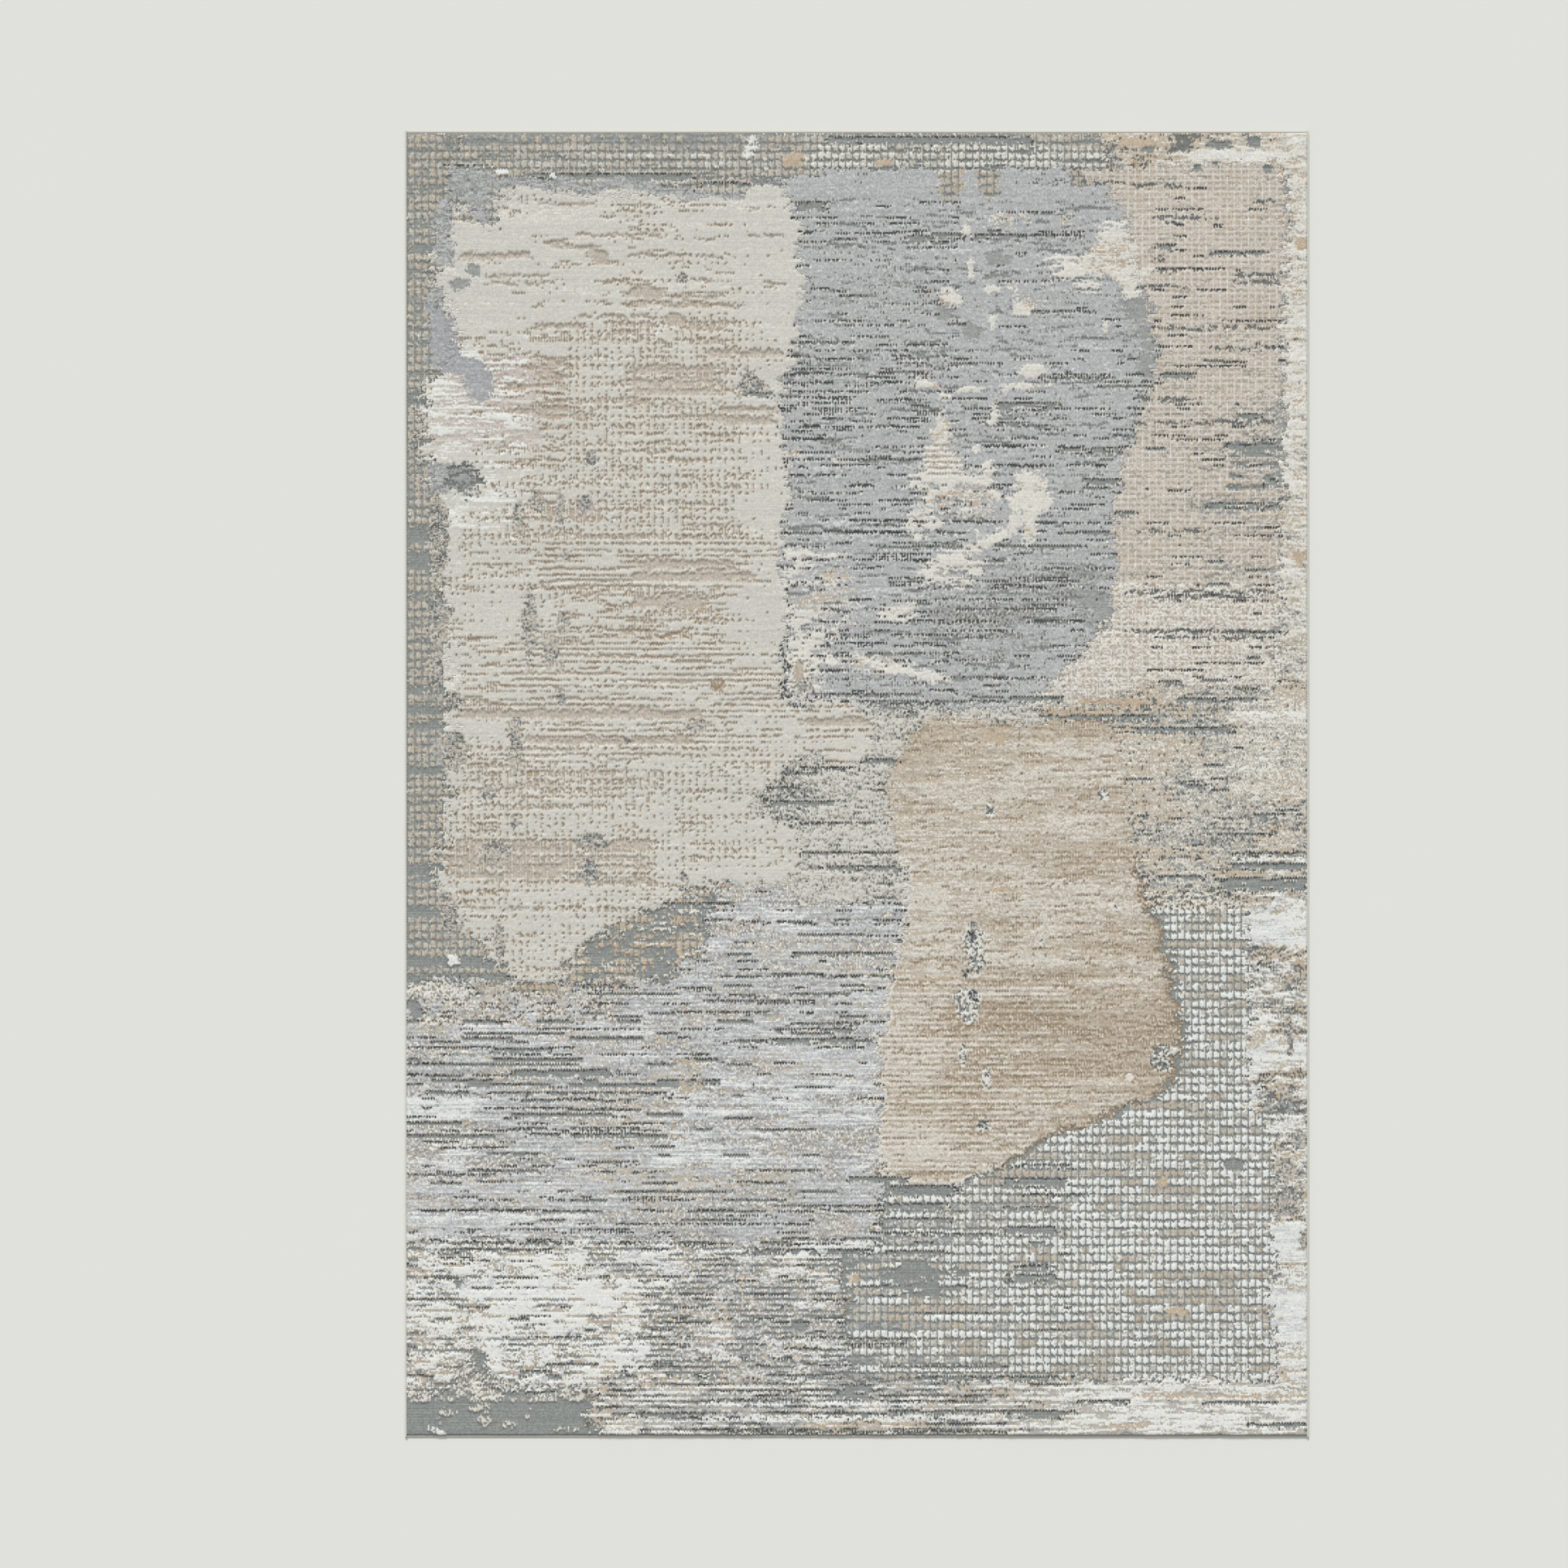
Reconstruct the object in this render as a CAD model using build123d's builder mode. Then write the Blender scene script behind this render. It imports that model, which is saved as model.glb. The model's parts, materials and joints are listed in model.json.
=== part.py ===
"""Area rug, 160 by 231 cm, machine woven, with raised and sunken pile.

The rug lies flat. Its origin is the middle of its underside, +X is across its
width, +Y points to its head end and +Z up. Lengths are in millimetres. From the
floor up it is a latex coat, a ground cloth of lower weft, stuffer warp and upper
weft, and the pile, which is woven in fields of different yarn and texture. The
long sides are serged over a cord, and the head and foot ends are hemmed.
"""

import os

from build123d import *

# Driving dimensions.
WIDTH = 1600.0
LENGTH = 2310.0

COAT_THICKNESS = 0.8
LOWER_WEFT_THICKNESS = 0.8
STUFFER_THICKNESS = 0.6
UPPER_WEFT_THICKNESS = 0.8
PILE_HEIGHT = 7.5

SERGING_WIDTH = 4.0
SERGING_HEIGHT = 7.0
SERGING_ROUNDING = 1.6
CORD_DIAMETER = 2.4

HEM_THICKNESS = 1.0
HEM_LIP = 4.0
HEM_RETURN = 28.0
HEM_ROUNDING = 0.6

THREAD = 0.5
TOP_SEAM_INSET = 2.4
RETURN_SEAM_INSET = 24.0

LABEL_WIDTH = 60.0
LABEL_LENGTH = 40.0
LABEL_THICKNESS = 0.5
LABEL_GAP = 0.5
LABEL_FROM_SIDE = 90.0
LABEL_FROM_FOOT = 70.0
LABEL_SEAM_INSET = 4.0
LABEL_THREAD = 0.25

# Heights of the layers above the floor.
COAT_TOP = COAT_THICKNESS
LOWER_WEFT_TOP = COAT_TOP + LOWER_WEFT_THICKNESS
STUFFER_TOP = LOWER_WEFT_TOP + STUFFER_THICKNESS
CLOTH_TOP = STUFFER_TOP + UPPER_WEFT_THICKNESS
LIP_TOP = CLOTH_TOP + HEM_THICKNESS

CLOTH_WIDTH = WIDTH - 2 * SERGING_WIDTH
CLOTH_LENGTH = LENGTH - 2 * HEM_THICKNESS
FACE_LENGTH = LENGTH - 2 * HEM_LIP

# Pile fields, in the order in which they claim their place: a field gives way to
# every field above it. Outlines are in centimetres from the head-left corner of the
# rug, x to the right and y towards the foot. Rounded ones are smooth closed curves.
ROUNDED_FIELDS = {
    "cream_pile": [
        (9.5, 12.5), (7.0, 18.5), (5.3, 27.0), (9.3, 35.0), (4.8, 45.0), (4.8, 63.0),
        (7.0, 80.0), (7.5, 120.0), (8.8, 140.0), (14.5, 144.5), (20.0, 150.0),
        (27.0, 149.0), (31.0, 144.5), (40.0, 140.0), (50.0, 134.5), (62.0, 133.5),
        (70.0, 131.0), (69.5, 124.0), (62.5, 120.0), (67.5, 113.5), (72.0, 110.0),
        (79.0, 113.0), (83.0, 104.0), (76.0, 101.0), (69.0, 99.0), (67.5, 88.0),
        (66.8, 74.0), (68.5, 62.0), (66.5, 50.0), (69.5, 36.0), (69.8, 20.0),
        (67.5, 10.5), (50.0, 10.0), (30.0, 10.5), (17.0, 12.5), (13.5, 17.0),
    ],
    "blue_grey_pile": [
        (66.0, 8.5), (85.0, 6.5), (105.0, 7.0), (121.0, 8.0), (127.0, 14.0),
        (129.5, 26.0), (133.0, 35.5), (132.0, 46.0), (127.5, 58.0), (125.5, 72.0),
        (124.5, 87.0), (117.0, 95.0), (110.0, 101.0), (95.0, 102.0), (76.0, 102.0),
        (67.0, 98.5), (64.0, 86.0), (64.0, 60.0), (66.0, 38.0), (66.0, 20.0),
    ],
    "sand_pile": [
        (91.0, 105.5), (86.5, 112.0), (86.0, 122.0), (89.0, 134.5), (86.5, 147.0),
        (84.5, 158.0), (83.8, 176.0), (86.0, 186.0), (95.0, 187.3), (103.0, 184.5),
        (115.0, 177.8), (129.0, 172.3), (136.5, 166.5), (136.8, 159.5), (134.2, 144.0),
        (129.8, 131.0), (127.5, 117.0), (125.5, 106.0), (109.0, 104.8),
    ],
}
STRAIGHT_FIELDS = {
    "peach_lattice_pile": [
        (108.0, 101.5), (108.0, 8.0), (124.0, 6.8), (154.0, 5.4), (156.6, 9.0),
        (155.5, 30.0), (155.0, 98.5), (130.0, 98.0), (125.0, 101.5),
    ],
    "stipple_pile": [
        (112.0, 98.0), (160.0, 98.0), (160.0, 134.5), (128.0, 134.5), (112.0, 104.0),
    ],
    "speckle_pile": [
        (60.0, 101.5), (114.0, 101.0), (114.0, 106.0), (92.0, 110.0), (92.0, 136.5),
        (70.0, 136.5), (57.0, 125.0),
    ],
    "head_check_pile": [
        (9.0, 0.0), (123.5, 0.0), (125.5, 15.0), (20.0, 15.0), (14.0, 18.5), (9.0, 17.5),
    ],
    "right_cream_pile": [
        (123.5, 0.0), (160.0, 0.0), (160.0, 100.0), (123.5, 100.0),
    ],
    "slate_wedge_pile": [
        (26.0, 150.5), (26.0, 136.0), (57.0, 132.0), (54.0, 140.0), (48.0, 150.5),
    ],
    "left_check_pile": [
        (0.0, 0.0), (20.0, 0.0), (20.0, 150.5), (0.0, 150.5),
    ],
    "slate_block_pile": [
        (0.0, 223.6), (9.0, 222.6), (12.5, 216.0), (14.5, 222.2), (33.3, 223.0),
        (33.3, 231.0), (0.0, 231.0),
    ],
    "right_white_pile": [
        (149.0, 134.5), (160.0, 134.5), (160.0, 222.0), (153.5, 222.0), (153.5, 176.0),
        (149.0, 172.0),
    ],
    "foot_streak_pile": [
        (33.3, 220.8), (160.0, 220.8), (160.0, 231.0), (33.3, 231.0),
    ],
    "slate_check_pile": [
        (110.0, 134.5), (154.0, 134.5), (154.0, 220.8), (77.8, 220.8), (77.8, 199.0),
        (84.2, 197.5), (84.2, 180.0), (110.0, 180.0),
    ],
    "white_streak_pile": [
        (0.0, 195.5), (50.0, 196.5), (77.8, 199.0), (77.8, 220.8), (33.3, 224.0),
        (0.0, 224.0),
    ],
    "blue_stripe_pile": [
        (0.0, 130.0), (92.0, 130.0), (92.0, 200.0), (0.0, 200.0),
    ],
}

os.makedirs("parts", exist_ok=True)


def write(part, label):
    """Labels a finished piece and writes it to its own file."""
    part.label = label
    export_step(part, f"parts/{label}.step")


def layer(label, width, length, bottom, thickness):
    """A flat rectangular layer centred on the rug, from bottom up."""
    with BuildPart() as sheet:
        with BuildSketch(Plane.XY.offset(bottom)):
            Rectangle(width, length)
        extrude(amount=thickness)
    write(sheet.part, label)


def from_corner(x_cm, y_cm):
    """A point measured from the head-left corner, as X and Y in the rug's frame."""
    return (10 * x_cm - WIDTH / 2, LENGTH / 2 - 10 * y_cm)


# Latex coat, with a window where the care label is stuck to the cloth.
label_x = LABEL_FROM_SIDE - WIDTH / 2
label_y = LABEL_FROM_FOOT - LENGTH / 2

with BuildPart() as latex_coat:
    with BuildSketch():
        Rectangle(CLOTH_WIDTH, LENGTH - 2 * HEM_RETURN)
        with Locations((label_x, label_y)):
            Rectangle(LABEL_WIDTH + 2 * LABEL_GAP, LABEL_LENGTH + 2 * LABEL_GAP, mode=Mode.SUBTRACT)
    extrude(amount=COAT_THICKNESS)
write(latex_coat.part, "latex_coat")

# Care label: a blank tape, sewn down along its two short ends.
label_bottom = COAT_TOP - LABEL_THICKNESS

with BuildPart() as care_label:
    with BuildSketch(Plane.XY.offset(label_bottom)):
        with Locations((label_x, label_y)):
            Rectangle(LABEL_WIDTH, LABEL_LENGTH)
    extrude(amount=LABEL_THICKNESS)
write(care_label.part, "care_label")

with BuildPart() as care_label_stitching:
    with BuildSketch(Plane.XY.offset(label_bottom)):
        with Locations((label_x, label_y)):
            with GridLocations(LABEL_WIDTH - 2 * LABEL_SEAM_INSET, 0, 2, 1):
                Rectangle(THREAD, LABEL_LENGTH - 2 * LABEL_SEAM_INSET)
    extrude(amount=-LABEL_THREAD)
write(care_label_stitching.part, "care_label_stitching")

# Ground cloth.
layer("lower_weft", CLOTH_WIDTH, CLOTH_LENGTH, COAT_TOP, LOWER_WEFT_THICKNESS)
layer("stuffer_warp", CLOTH_WIDTH, CLOTH_LENGTH, LOWER_WEFT_TOP, STUFFER_THICKNESS)
layer("upper_weft", CLOTH_WIDTH, CLOTH_LENGTH, STUFFER_TOP, UPPER_WEFT_THICKNESS)

# Long sides: a cord along the cloth's edge, with serging yarn wound over it.
for side, direction in (("left", -1), ("right", 1)):
    edge_x = direction * (WIDTH - SERGING_WIDTH) / 2

    with BuildPart() as selvedge_cord:
        with BuildSketch(Plane.XZ):
            with Locations((edge_x, SERGING_HEIGHT / 2)):
                Circle(CORD_DIAMETER / 2)
        extrude(amount=LENGTH / 2, both=True)
    write(selvedge_cord.part, f"{side}_selvedge_cord")

    with BuildPart() as serging:
        with BuildSketch(Plane.XZ):
            with Locations((edge_x, SERGING_HEIGHT / 2)):
                RectangleRounded(SERGING_WIDTH, SERGING_HEIGHT, SERGING_ROUNDING)
                Circle(CORD_DIAMETER / 2, mode=Mode.SUBTRACT)
        extrude(amount=LENGTH / 2, both=True)
    write(serging.part, f"{side}_serging")

# Ends: the woven web turned under the cloth, with one seam on its lip and one on the
# part turned under, whose thread lies in a groove.
for end, direction in (("head", 1), ("foot", -1)):
    outer = direction * LENGTH / 2

    with BuildPart() as hem:
        with BuildSketch(Plane.YZ):
            with BuildLine():
                Polyline(
                    (outer, 0),
                    (outer, LIP_TOP),
                    (outer - direction * HEM_LIP, LIP_TOP),
                    (outer - direction * HEM_LIP, CLOTH_TOP),
                    (outer - direction * HEM_THICKNESS, CLOTH_TOP),
                    (outer - direction * HEM_THICKNESS, COAT_TOP),
                    (outer - direction * HEM_RETURN, COAT_TOP),
                    (outer - direction * HEM_RETURN, 0),
                    close=True,
                )
            make_face()
            with Locations((outer - direction * RETURN_SEAM_INSET, THREAD / 2)):
                Rectangle(THREAD, THREAD, mode=Mode.SUBTRACT)
        extrude(amount=CLOTH_WIDTH / 2, both=True)
        outer_edges = hem.edges().filter_by(Axis.X).group_by(Axis.Y)[-1 if direction > 0 else 0]
        fillet(outer_edges, HEM_ROUNDING)
    write(hem.part, f"{end}_hem")

    with BuildPart() as hem_stitching:
        with BuildSketch(Plane.YZ):
            with Locations(
                (outer - direction * TOP_SEAM_INSET, LIP_TOP + THREAD / 2),
                (outer - direction * RETURN_SEAM_INSET, THREAD / 2),
            ):
                Rectangle(THREAD, THREAD)
        extrude(amount=CLOTH_WIDTH / 2, both=True)
    write(hem_stitching.part, f"{end}_hem_stitching")

# Pile fields, each cut back to the rug's face and to the fields before it.
claimed = None

for name, outline in (ROUNDED_FIELDS | STRAIGHT_FIELDS).items():
    corners = [from_corner(x, y) for x, y in outline]

    with BuildSketch() as plan:
        with BuildLine():
            if name in ROUNDED_FIELDS:
                Spline(*corners, periodic=True)
            else:
                Polyline(*corners, close=True)
        make_face()
        Rectangle(CLOTH_WIDTH, FACE_LENGTH, mode=Mode.INTERSECT)
        if claimed:
            add(claimed, mode=Mode.SUBTRACT)

    with BuildPart() as pile:
        with BuildSketch(Plane.XY.offset(CLOTH_TOP)):
            add(plan.sketch)
        extrude(amount=PILE_HEIGHT)
    write(pile.part, name)

    with BuildSketch() as covered:
        add(plan.sketch)
        if claimed:
            add(claimed)
    claimed = covered.sketch
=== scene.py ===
"""Looks of a machine-woven area rug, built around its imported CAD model.

The pile is painted on the loom's own grid, one point for each stitch, with a yarn colour
and a pile height. Each pile field of the CAD model becomes a relief mesh cut from that
grid. The serging, hems, seams, ground cloth, latex back and care label are modelled as
the yarn, web or sheet that they are. Lengths are in metres unless a name says otherwise.
Places on the rug's face are in centimetres from its head-left corner, X to the right and
Y towards the foot.
"""

import json
import math

import bpy
import numpy as np
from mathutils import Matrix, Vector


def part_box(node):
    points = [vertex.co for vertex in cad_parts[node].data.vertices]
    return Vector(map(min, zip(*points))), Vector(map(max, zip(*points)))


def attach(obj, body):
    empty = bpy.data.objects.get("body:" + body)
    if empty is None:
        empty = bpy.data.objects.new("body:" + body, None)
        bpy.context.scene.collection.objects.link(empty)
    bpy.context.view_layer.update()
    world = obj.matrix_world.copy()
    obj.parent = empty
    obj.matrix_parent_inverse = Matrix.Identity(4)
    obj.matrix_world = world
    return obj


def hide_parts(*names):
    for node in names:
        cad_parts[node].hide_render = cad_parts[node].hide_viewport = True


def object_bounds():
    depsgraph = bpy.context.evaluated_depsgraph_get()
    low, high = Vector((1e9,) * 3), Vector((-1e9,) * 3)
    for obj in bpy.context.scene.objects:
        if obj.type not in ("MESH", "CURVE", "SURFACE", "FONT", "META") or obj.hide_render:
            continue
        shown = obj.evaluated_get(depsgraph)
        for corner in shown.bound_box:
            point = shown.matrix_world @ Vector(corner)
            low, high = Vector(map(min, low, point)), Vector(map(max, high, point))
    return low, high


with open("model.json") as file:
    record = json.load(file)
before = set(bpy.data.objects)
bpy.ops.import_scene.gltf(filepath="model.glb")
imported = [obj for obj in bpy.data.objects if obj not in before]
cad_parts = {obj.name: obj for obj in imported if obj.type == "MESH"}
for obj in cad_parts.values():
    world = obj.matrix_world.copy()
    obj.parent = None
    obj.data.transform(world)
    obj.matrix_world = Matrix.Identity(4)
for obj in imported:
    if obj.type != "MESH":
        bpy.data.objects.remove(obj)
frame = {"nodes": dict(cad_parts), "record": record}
cad_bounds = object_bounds()

# --- The loom grid ---

STITCH = 0.0025
PILE_NODES = sorted(name for name in frame["nodes"] if name.endswith("_pile"))

rug_low, rug_high = cad_bounds
field_boxes = [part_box(name) for name in PILE_NODES]
FACE_LEFT = min(low.x for low, high in field_boxes)
FACE_RIGHT = max(high.x for low, high in field_boxes)
FACE_FOOT = min(low.y for low, high in field_boxes)
FACE_HEAD = max(high.y for low, high in field_boxes)
CLOTH_TOP = field_boxes[0][0].z
PILE_TOP = field_boxes[0][1].z

COLS = round((FACE_RIGHT - FACE_LEFT) / STITCH)
ROWS = round((FACE_HEAD - FACE_FOOT) / STITCH)
stitch_x = FACE_LEFT + (np.arange(COLS) + 0.5) * (FACE_RIGHT - FACE_LEFT) / COLS
stitch_y = FACE_HEAD - (np.arange(ROWS) + 0.5) * (FACE_HEAD - FACE_FOOT) / ROWS
COL, ROW = np.meshgrid(np.arange(COLS), np.arange(ROWS))
X, Y = np.meshgrid(100 * (stitch_x - rug_low.x), 100 * (rug_high.y - stitch_y))


def evened(values):
    """The values, spread evenly over 0 to 1."""
    levels = np.linspace(0, 1, 401)
    return np.interp(values, np.quantile(values, levels), levels)


def smooth(seed, across, down):
    """Smooth random values with a grain of so many stitches."""
    coarse = np.random.default_rng(seed).random((int(ROWS / down) + 3, int(COLS / across) + 3))
    u, v = np.arange(COLS) / across, np.arange(ROWS) / down
    left, top = u.astype(int), v.astype(int)
    u, v = u - left, (v - top)[:, None]
    u, v = u * u * (3 - 2 * u), v * v * (3 - 2 * v)
    upper = coarse[top][:, left] * (1 - u) + coarse[top][:, left + 1] * u
    lower = coarse[top + 1][:, left] * (1 - u) + coarse[top + 1][:, left + 1] * u
    return upper * (1 - v) + lower * v


def noise(seed, across):
    """Evened noise with a grain so many stitches wide, and each row by itself."""
    return evened(smooth(seed, across, 1))


def clouds(seed, across, down, fade=1.4):
    """Evened noise with finer and finer noise in it, down to the single stitch."""
    total = np.zeros((ROWS, COLS))
    for octave in range(6):
        halved = 2**octave
        total += smooth(seed + octave, max(1, across / halved), max(1, down / halved)) / fade**octave
    return evened(total)


def runs(seed, length):
    """Random values in runs of so many stitches, each row shifted by itself."""
    random = np.random.default_rng(seed)
    values = random.random((ROWS, COLS // length + 2))
    shift = random.integers(0, length, ROWS)[:, None]
    return np.take_along_axis(values, (COL + shift) // length, axis=1)


def signed(values):
    """From 0 to 1 to -1 to 1."""
    return 2 * values - 1


FLECK = runs(1, 1)
FLECK_B = runs(2, 1)
PAIR = runs(3, 2)
RUN = runs(4, 6)
SPECK = (FLECK + PAIR) / 2 - 0.5
DASH = clouds(120, 6, 1.2, 1.15) - 0.5
ROW_TONE = noise(5, 50)
LONG_RUN = noise(6, 16)
CLOUD = clouds(10, 80, 40) - 0.5
CLOUD_B = clouds(20, 44, 20) - 0.5
CLOUD_C = clouds(30, 20, 10) - 0.5
STREAK = clouds(40, 60, 4) - 0.5
STREAK_B = clouds(50, 30, 2.5) - 0.5
STREAK_C = clouds(60, 20, 2) - 0.5
RAGGED_X = X + 1.8 * (clouds(70, 10, 3, 1.2) - 0.5)
RAGGED_Y = Y + 0.7 * (clouds(80, 6, 3, 1.2) - 0.5)

# --- Yarns and weaves ---
# A weave takes the stitches that it is laid on, and returns their colours, from 0 to 255,
# and the heights of their pile in millimetres.

WHITE = (228, 229, 224)
IVORY = (220, 217, 208)
CREAM = (208, 206, 197)
OATMEAL = (196, 190, 178)
TAUPE = (192, 183, 170)
PEACH = (199, 191, 180)
TAN = (194, 178, 156)
UMBER = (162, 144, 122)
SAND = (192, 182, 166)
PALE_BLUE = (200, 202, 203)
BLUE_GREY = (181, 182, 181)
STEEL = (158, 160, 158)
SLATE = (140, 144, 141)
DARK_SLATE = (122, 125, 122)
# Charcoal is the lowest yarn and partly painted shade: it also stands for the shadow down in the grooves.
CHARCOAL_AND_SHADE = (92, 94, 93)

HIGH = 6.9
RAISED = 6.0
MIDDLE = 5.2
LOW = 3.8
GROOVE = 2.8


def plain(colour, height, fleck=0.08, rows=0.03):
    """Cut pile of one yarn, with a fleck to each stitch and faint rows."""
    def weave(at):
        tone = 1 + fleck * signed(FLECK[at]) + rows * signed(ROW_TONE[at])
        return np.outer(tone, colour), height + 0.5 * signed(FLECK_B[at])
    return weave


def graded(values, *steps):
    """Weaves chosen by a value. A step is a limit and the weave under it, the last a weave alone."""
    *steps, last = steps

    def weave(at):
        value = values[at]
        colour, height = last(at)
        for limit, step in reversed(steps):
            here = value < limit
            colour_here, height_here = step(at)
            colour[here], height[here] = colour_here[here], height_here[here]
        return colour, height
    return weave


def mixed(choice, first, second):
    """The first weave where choice is true, and the second elsewhere."""
    return graded(np.where(choice, 0, 1), (0.5, first), second)


# Patterns of the weave. The checks have cells of five stitches by six.
TWILL = (COL + ROW) % 2 == 0
TEETH = (COL + ROW // 2) % 2 == 0
FINE_RIB = ROW % 2 == 0
LATTICE_COLUMN = COL % 5 == 0
LATTICE_ROW = ROW % 6 == 0
TICK = (COL % 5 < 2) & (ROW % 3 != 0)
# A weave laid through a screen shows where its amount is over the screen's value.
GRID_SCREEN = np.select([COL % 5 == 4, ROW % 6 == 5, TICK], [0.95, 0.85, 0.2], 0.55)
GRID_SCREEN += 0.35 * (FLECK - 0.5)
ROW_SCREEN = 0.55 * LONG_RUN + 0.25 * PAIR + 0.25 * (ROW % 2)
CELL = np.random.default_rng(90).random((ROWS // 6 + 1, COLS // 5 + 1))[ROW // 6, COL // 5] - 0.5
CHECK_LINE = LATTICE_ROW & (RUN < 0.97) | LATTICE_COLUMN & (FLECK_B < 0.95) | (ROW % 6 == 1) & (PAIR < 0.5)
CHECK_LINE |= (COL % 5 == 1) & ((ROW + 1) % 6 < 3) & (FLECK < 0.7)
TWIN_RUN = noise(7, 12)[ROW // 2 * 2, COL]
TWIN_ROW = ROW // 2 % 2 == 0
STRIPE = np.where(((Y / 1.1 + 0.25 * CLOUD) % 1) < 0.48, -1.0, 1.0)

cream = plain(CREAM, HIGH, 0.04, 0.02)
ivory = plain(IVORY, HIGH, 0.05)
white = plain(WHITE, HIGH, 0.04, 0.02)
oatmeal = plain(OATMEAL, RAISED)
taupe = plain(TAUPE, LOW)
tan = plain(TAN, RAISED)
umber = plain(UMBER, LOW)
hemp = plain((189, 179, 163), RAISED)
peach = plain(PEACH, RAISED)
blue_grey = plain(BLUE_GREY, RAISED)
pale_blue = plain(PALE_BLUE, HIGH)
steel = plain(STEEL, MIDDLE)
slate = mixed(FINE_RIB, plain(SLATE, LOW), plain((147, 151, 148), LOW))
dark_slate = plain(DARK_SLATE, LOW)
# Charcoal pile, partly painted shade for the dark at the bottom of grooves.
charcoal_and_shade = plain(CHARCOAL_AND_SHADE, GROOVE, 0.12)
warm_or_grey = mixed(CLOUD_B + 0.5 * CLOUD_C < 0, tan, steel)

grey_pepper = graded(SPECK + 0.4 * CLOUD_C, (-0.2, dark_slate), (0.0, steel), (0.16, taupe), oatmeal)
dark_pepper = graded(SPECK, (-0.05, charcoal_and_shade), (0.12, dark_slate), blue_grey)
bright_pepper = graded(SPECK + 0.3 * CLOUD_C, (-0.14, dark_slate), (0.02, steel), ivory)
cream_pepper = graded(SPECK, (-0.2, steel), (-0.05, taupe), ivory)
salt = graded(1.3 * SPECK + 0.3 * STREAK_C, (-0.25, dark_slate), (-0.1, umber), (0.12, oatmeal), ivory)

# --- The face, and the shapes that weaves are laid in ---

face_colour = np.zeros((ROWS, COLS, 3))
face_height = np.zeros((ROWS, COLS))
FADE_X = 3.0
FADE_Y = 0.35 * FADE_X


def lay(at, weave):
    """Weaves the stitches in a mask."""
    face_colour[at], face_height[at] = weave(at)


def box(x0, y0, x1, y1):
    """Ragged rectangle."""
    return span(x0, x1) & (RAGGED_Y > y0) & (RAGGED_Y < y1)


def within(x0=0, y0=0, x1=math.inf, y1=math.inf):
    """Rectangle with straight edges, open on each side that isn't given."""
    return (X > x0) & (X < x1) & (Y > y0) & (Y < y1)


def span(x0, x1):
    """Everything between two ragged edges."""
    return (RAGGED_X > x0) & (RAGGED_X < x1)


def ramp(values, start, length):
    """Values turned into a share that rises from 0 to 1 over a length."""
    return np.clip((values - start) / length, 0, 1)


def soft(x0, y0, x1, y1):
    """Field of 1 in a rectangle and 0 outside it, with soft edges."""
    across = np.minimum(X - x0, x1 - X) / FADE_X
    down = np.minimum(Y - y0, y1 - Y) / FADE_Y
    return np.clip(0.5 + np.minimum(across, down), 0, 1)


def shaded(*changes):
    """Sum of soft rectangles, each given as its strength and its corners."""
    return sum(strength * soft(*corners) for strength, *corners in changes)


def disc(x0, y0, x1, y1, rough=0.8):
    """Ragged ellipse that fills a rectangle."""
    u = (X - (x0 + x1) / 2) / (x1 - x0) * 2
    v = (Y - (y0 + y1) / 2) / (y1 - y0) * 2
    return u * u + v * v < 1 + rough * (CLOUD_C + STREAK_C)


def outline(*corners):
    """Inside of a ragged closed outline."""
    inside = np.zeros((ROWS, COLS), bool)
    for (x0, y0), (x1, y1) in zip(corners, corners[1:] + corners[:1]):
        if y0 != y1:
            crosses = (RAGGED_Y > min(y0, y1)) & (RAGGED_Y <= max(y0, y1))
            inside ^= crosses & (RAGGED_X < x0 + (RAGGED_Y - y0) * (x1 - x0) / (y1 - y0))
    return inside


def crack(width, *points):
    """Ragged line through points, about 1.2 widths across."""
    nearest = np.full((ROWS, COLS), 1e9)
    for (x0, y0), (x1, y1) in zip(points, points[1:]):
        dx, dy = x1 - x0, y1 - y0
        along = ((RAGGED_X - x0) * dx + (RAGGED_Y - y0) * dy) / (dx * dx + dy * dy)
        along = np.clip(along, 0, 1)
        away = np.hypot(RAGGED_X - x0 - along * dx, RAGGED_Y - y0 - along * dy)
        nearest = np.minimum(nearest, away)
    return nearest < width * (0.6 + 0.9 * CLOUD_C)


def boxes(weave, *corners):
    """Ragged rectangles of one weave."""
    for x0, y0, x1, y1 in corners:
        lay(box(x0, y0, x1, y1), weave)


def discs(weave, *corners, rough=0.8):
    """Ragged ellipses of one weave."""
    for x0, y0, x1, y1 in corners:
        lay(disc(x0, y0, x1, y1, rough), weave)


def carve(at):
    """Charcoal grooves, dotted here and there, with teeth and pale flecks under them. The charcoal is
    partly painted shade, and the pale flecks under them are a painted highlight.
    """
    dotted = (CLOUD_C > 0.12) & (COL % 3 == 0)
    lay(at & dotted, oatmeal)
    # Partly painted shade: the groove is laid in charcoal.
    lay(at & ~dotted, charcoal_and_shade)
    painted_highlight = np.roll(at, 1, axis=0) & ~at
    # Painted highlight: pale ivory flecks on the lit row under the groove.
    lay(painted_highlight & (COL % 3 == 0) & (FLECK_B < 0.7), ivory)


def sink(at):
    """Sunken slate with a painted shadow in charcoal along its top, and pale teeth above and under it; the
    teeth under it are partly a painted highlight.
    """
    lay(at, slate)
    # Painted shadow: charcoal along the top row, where the pile above would shade the bar.
    lay(at & ~np.roll(at, 1, axis=0) & (PAIR < 0.85), charcoal_and_shade)
    # Ivory teeth under the bar, partly pattern and partly a painted highlight on the lit edge.
    lay(np.roll(at, 1, axis=0) & ~at & (COL % 3 == 0), ivory)
    lay(np.roll(at, -1, axis=0) & ~at & (COL % 3 == 1), oatmeal)


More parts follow.
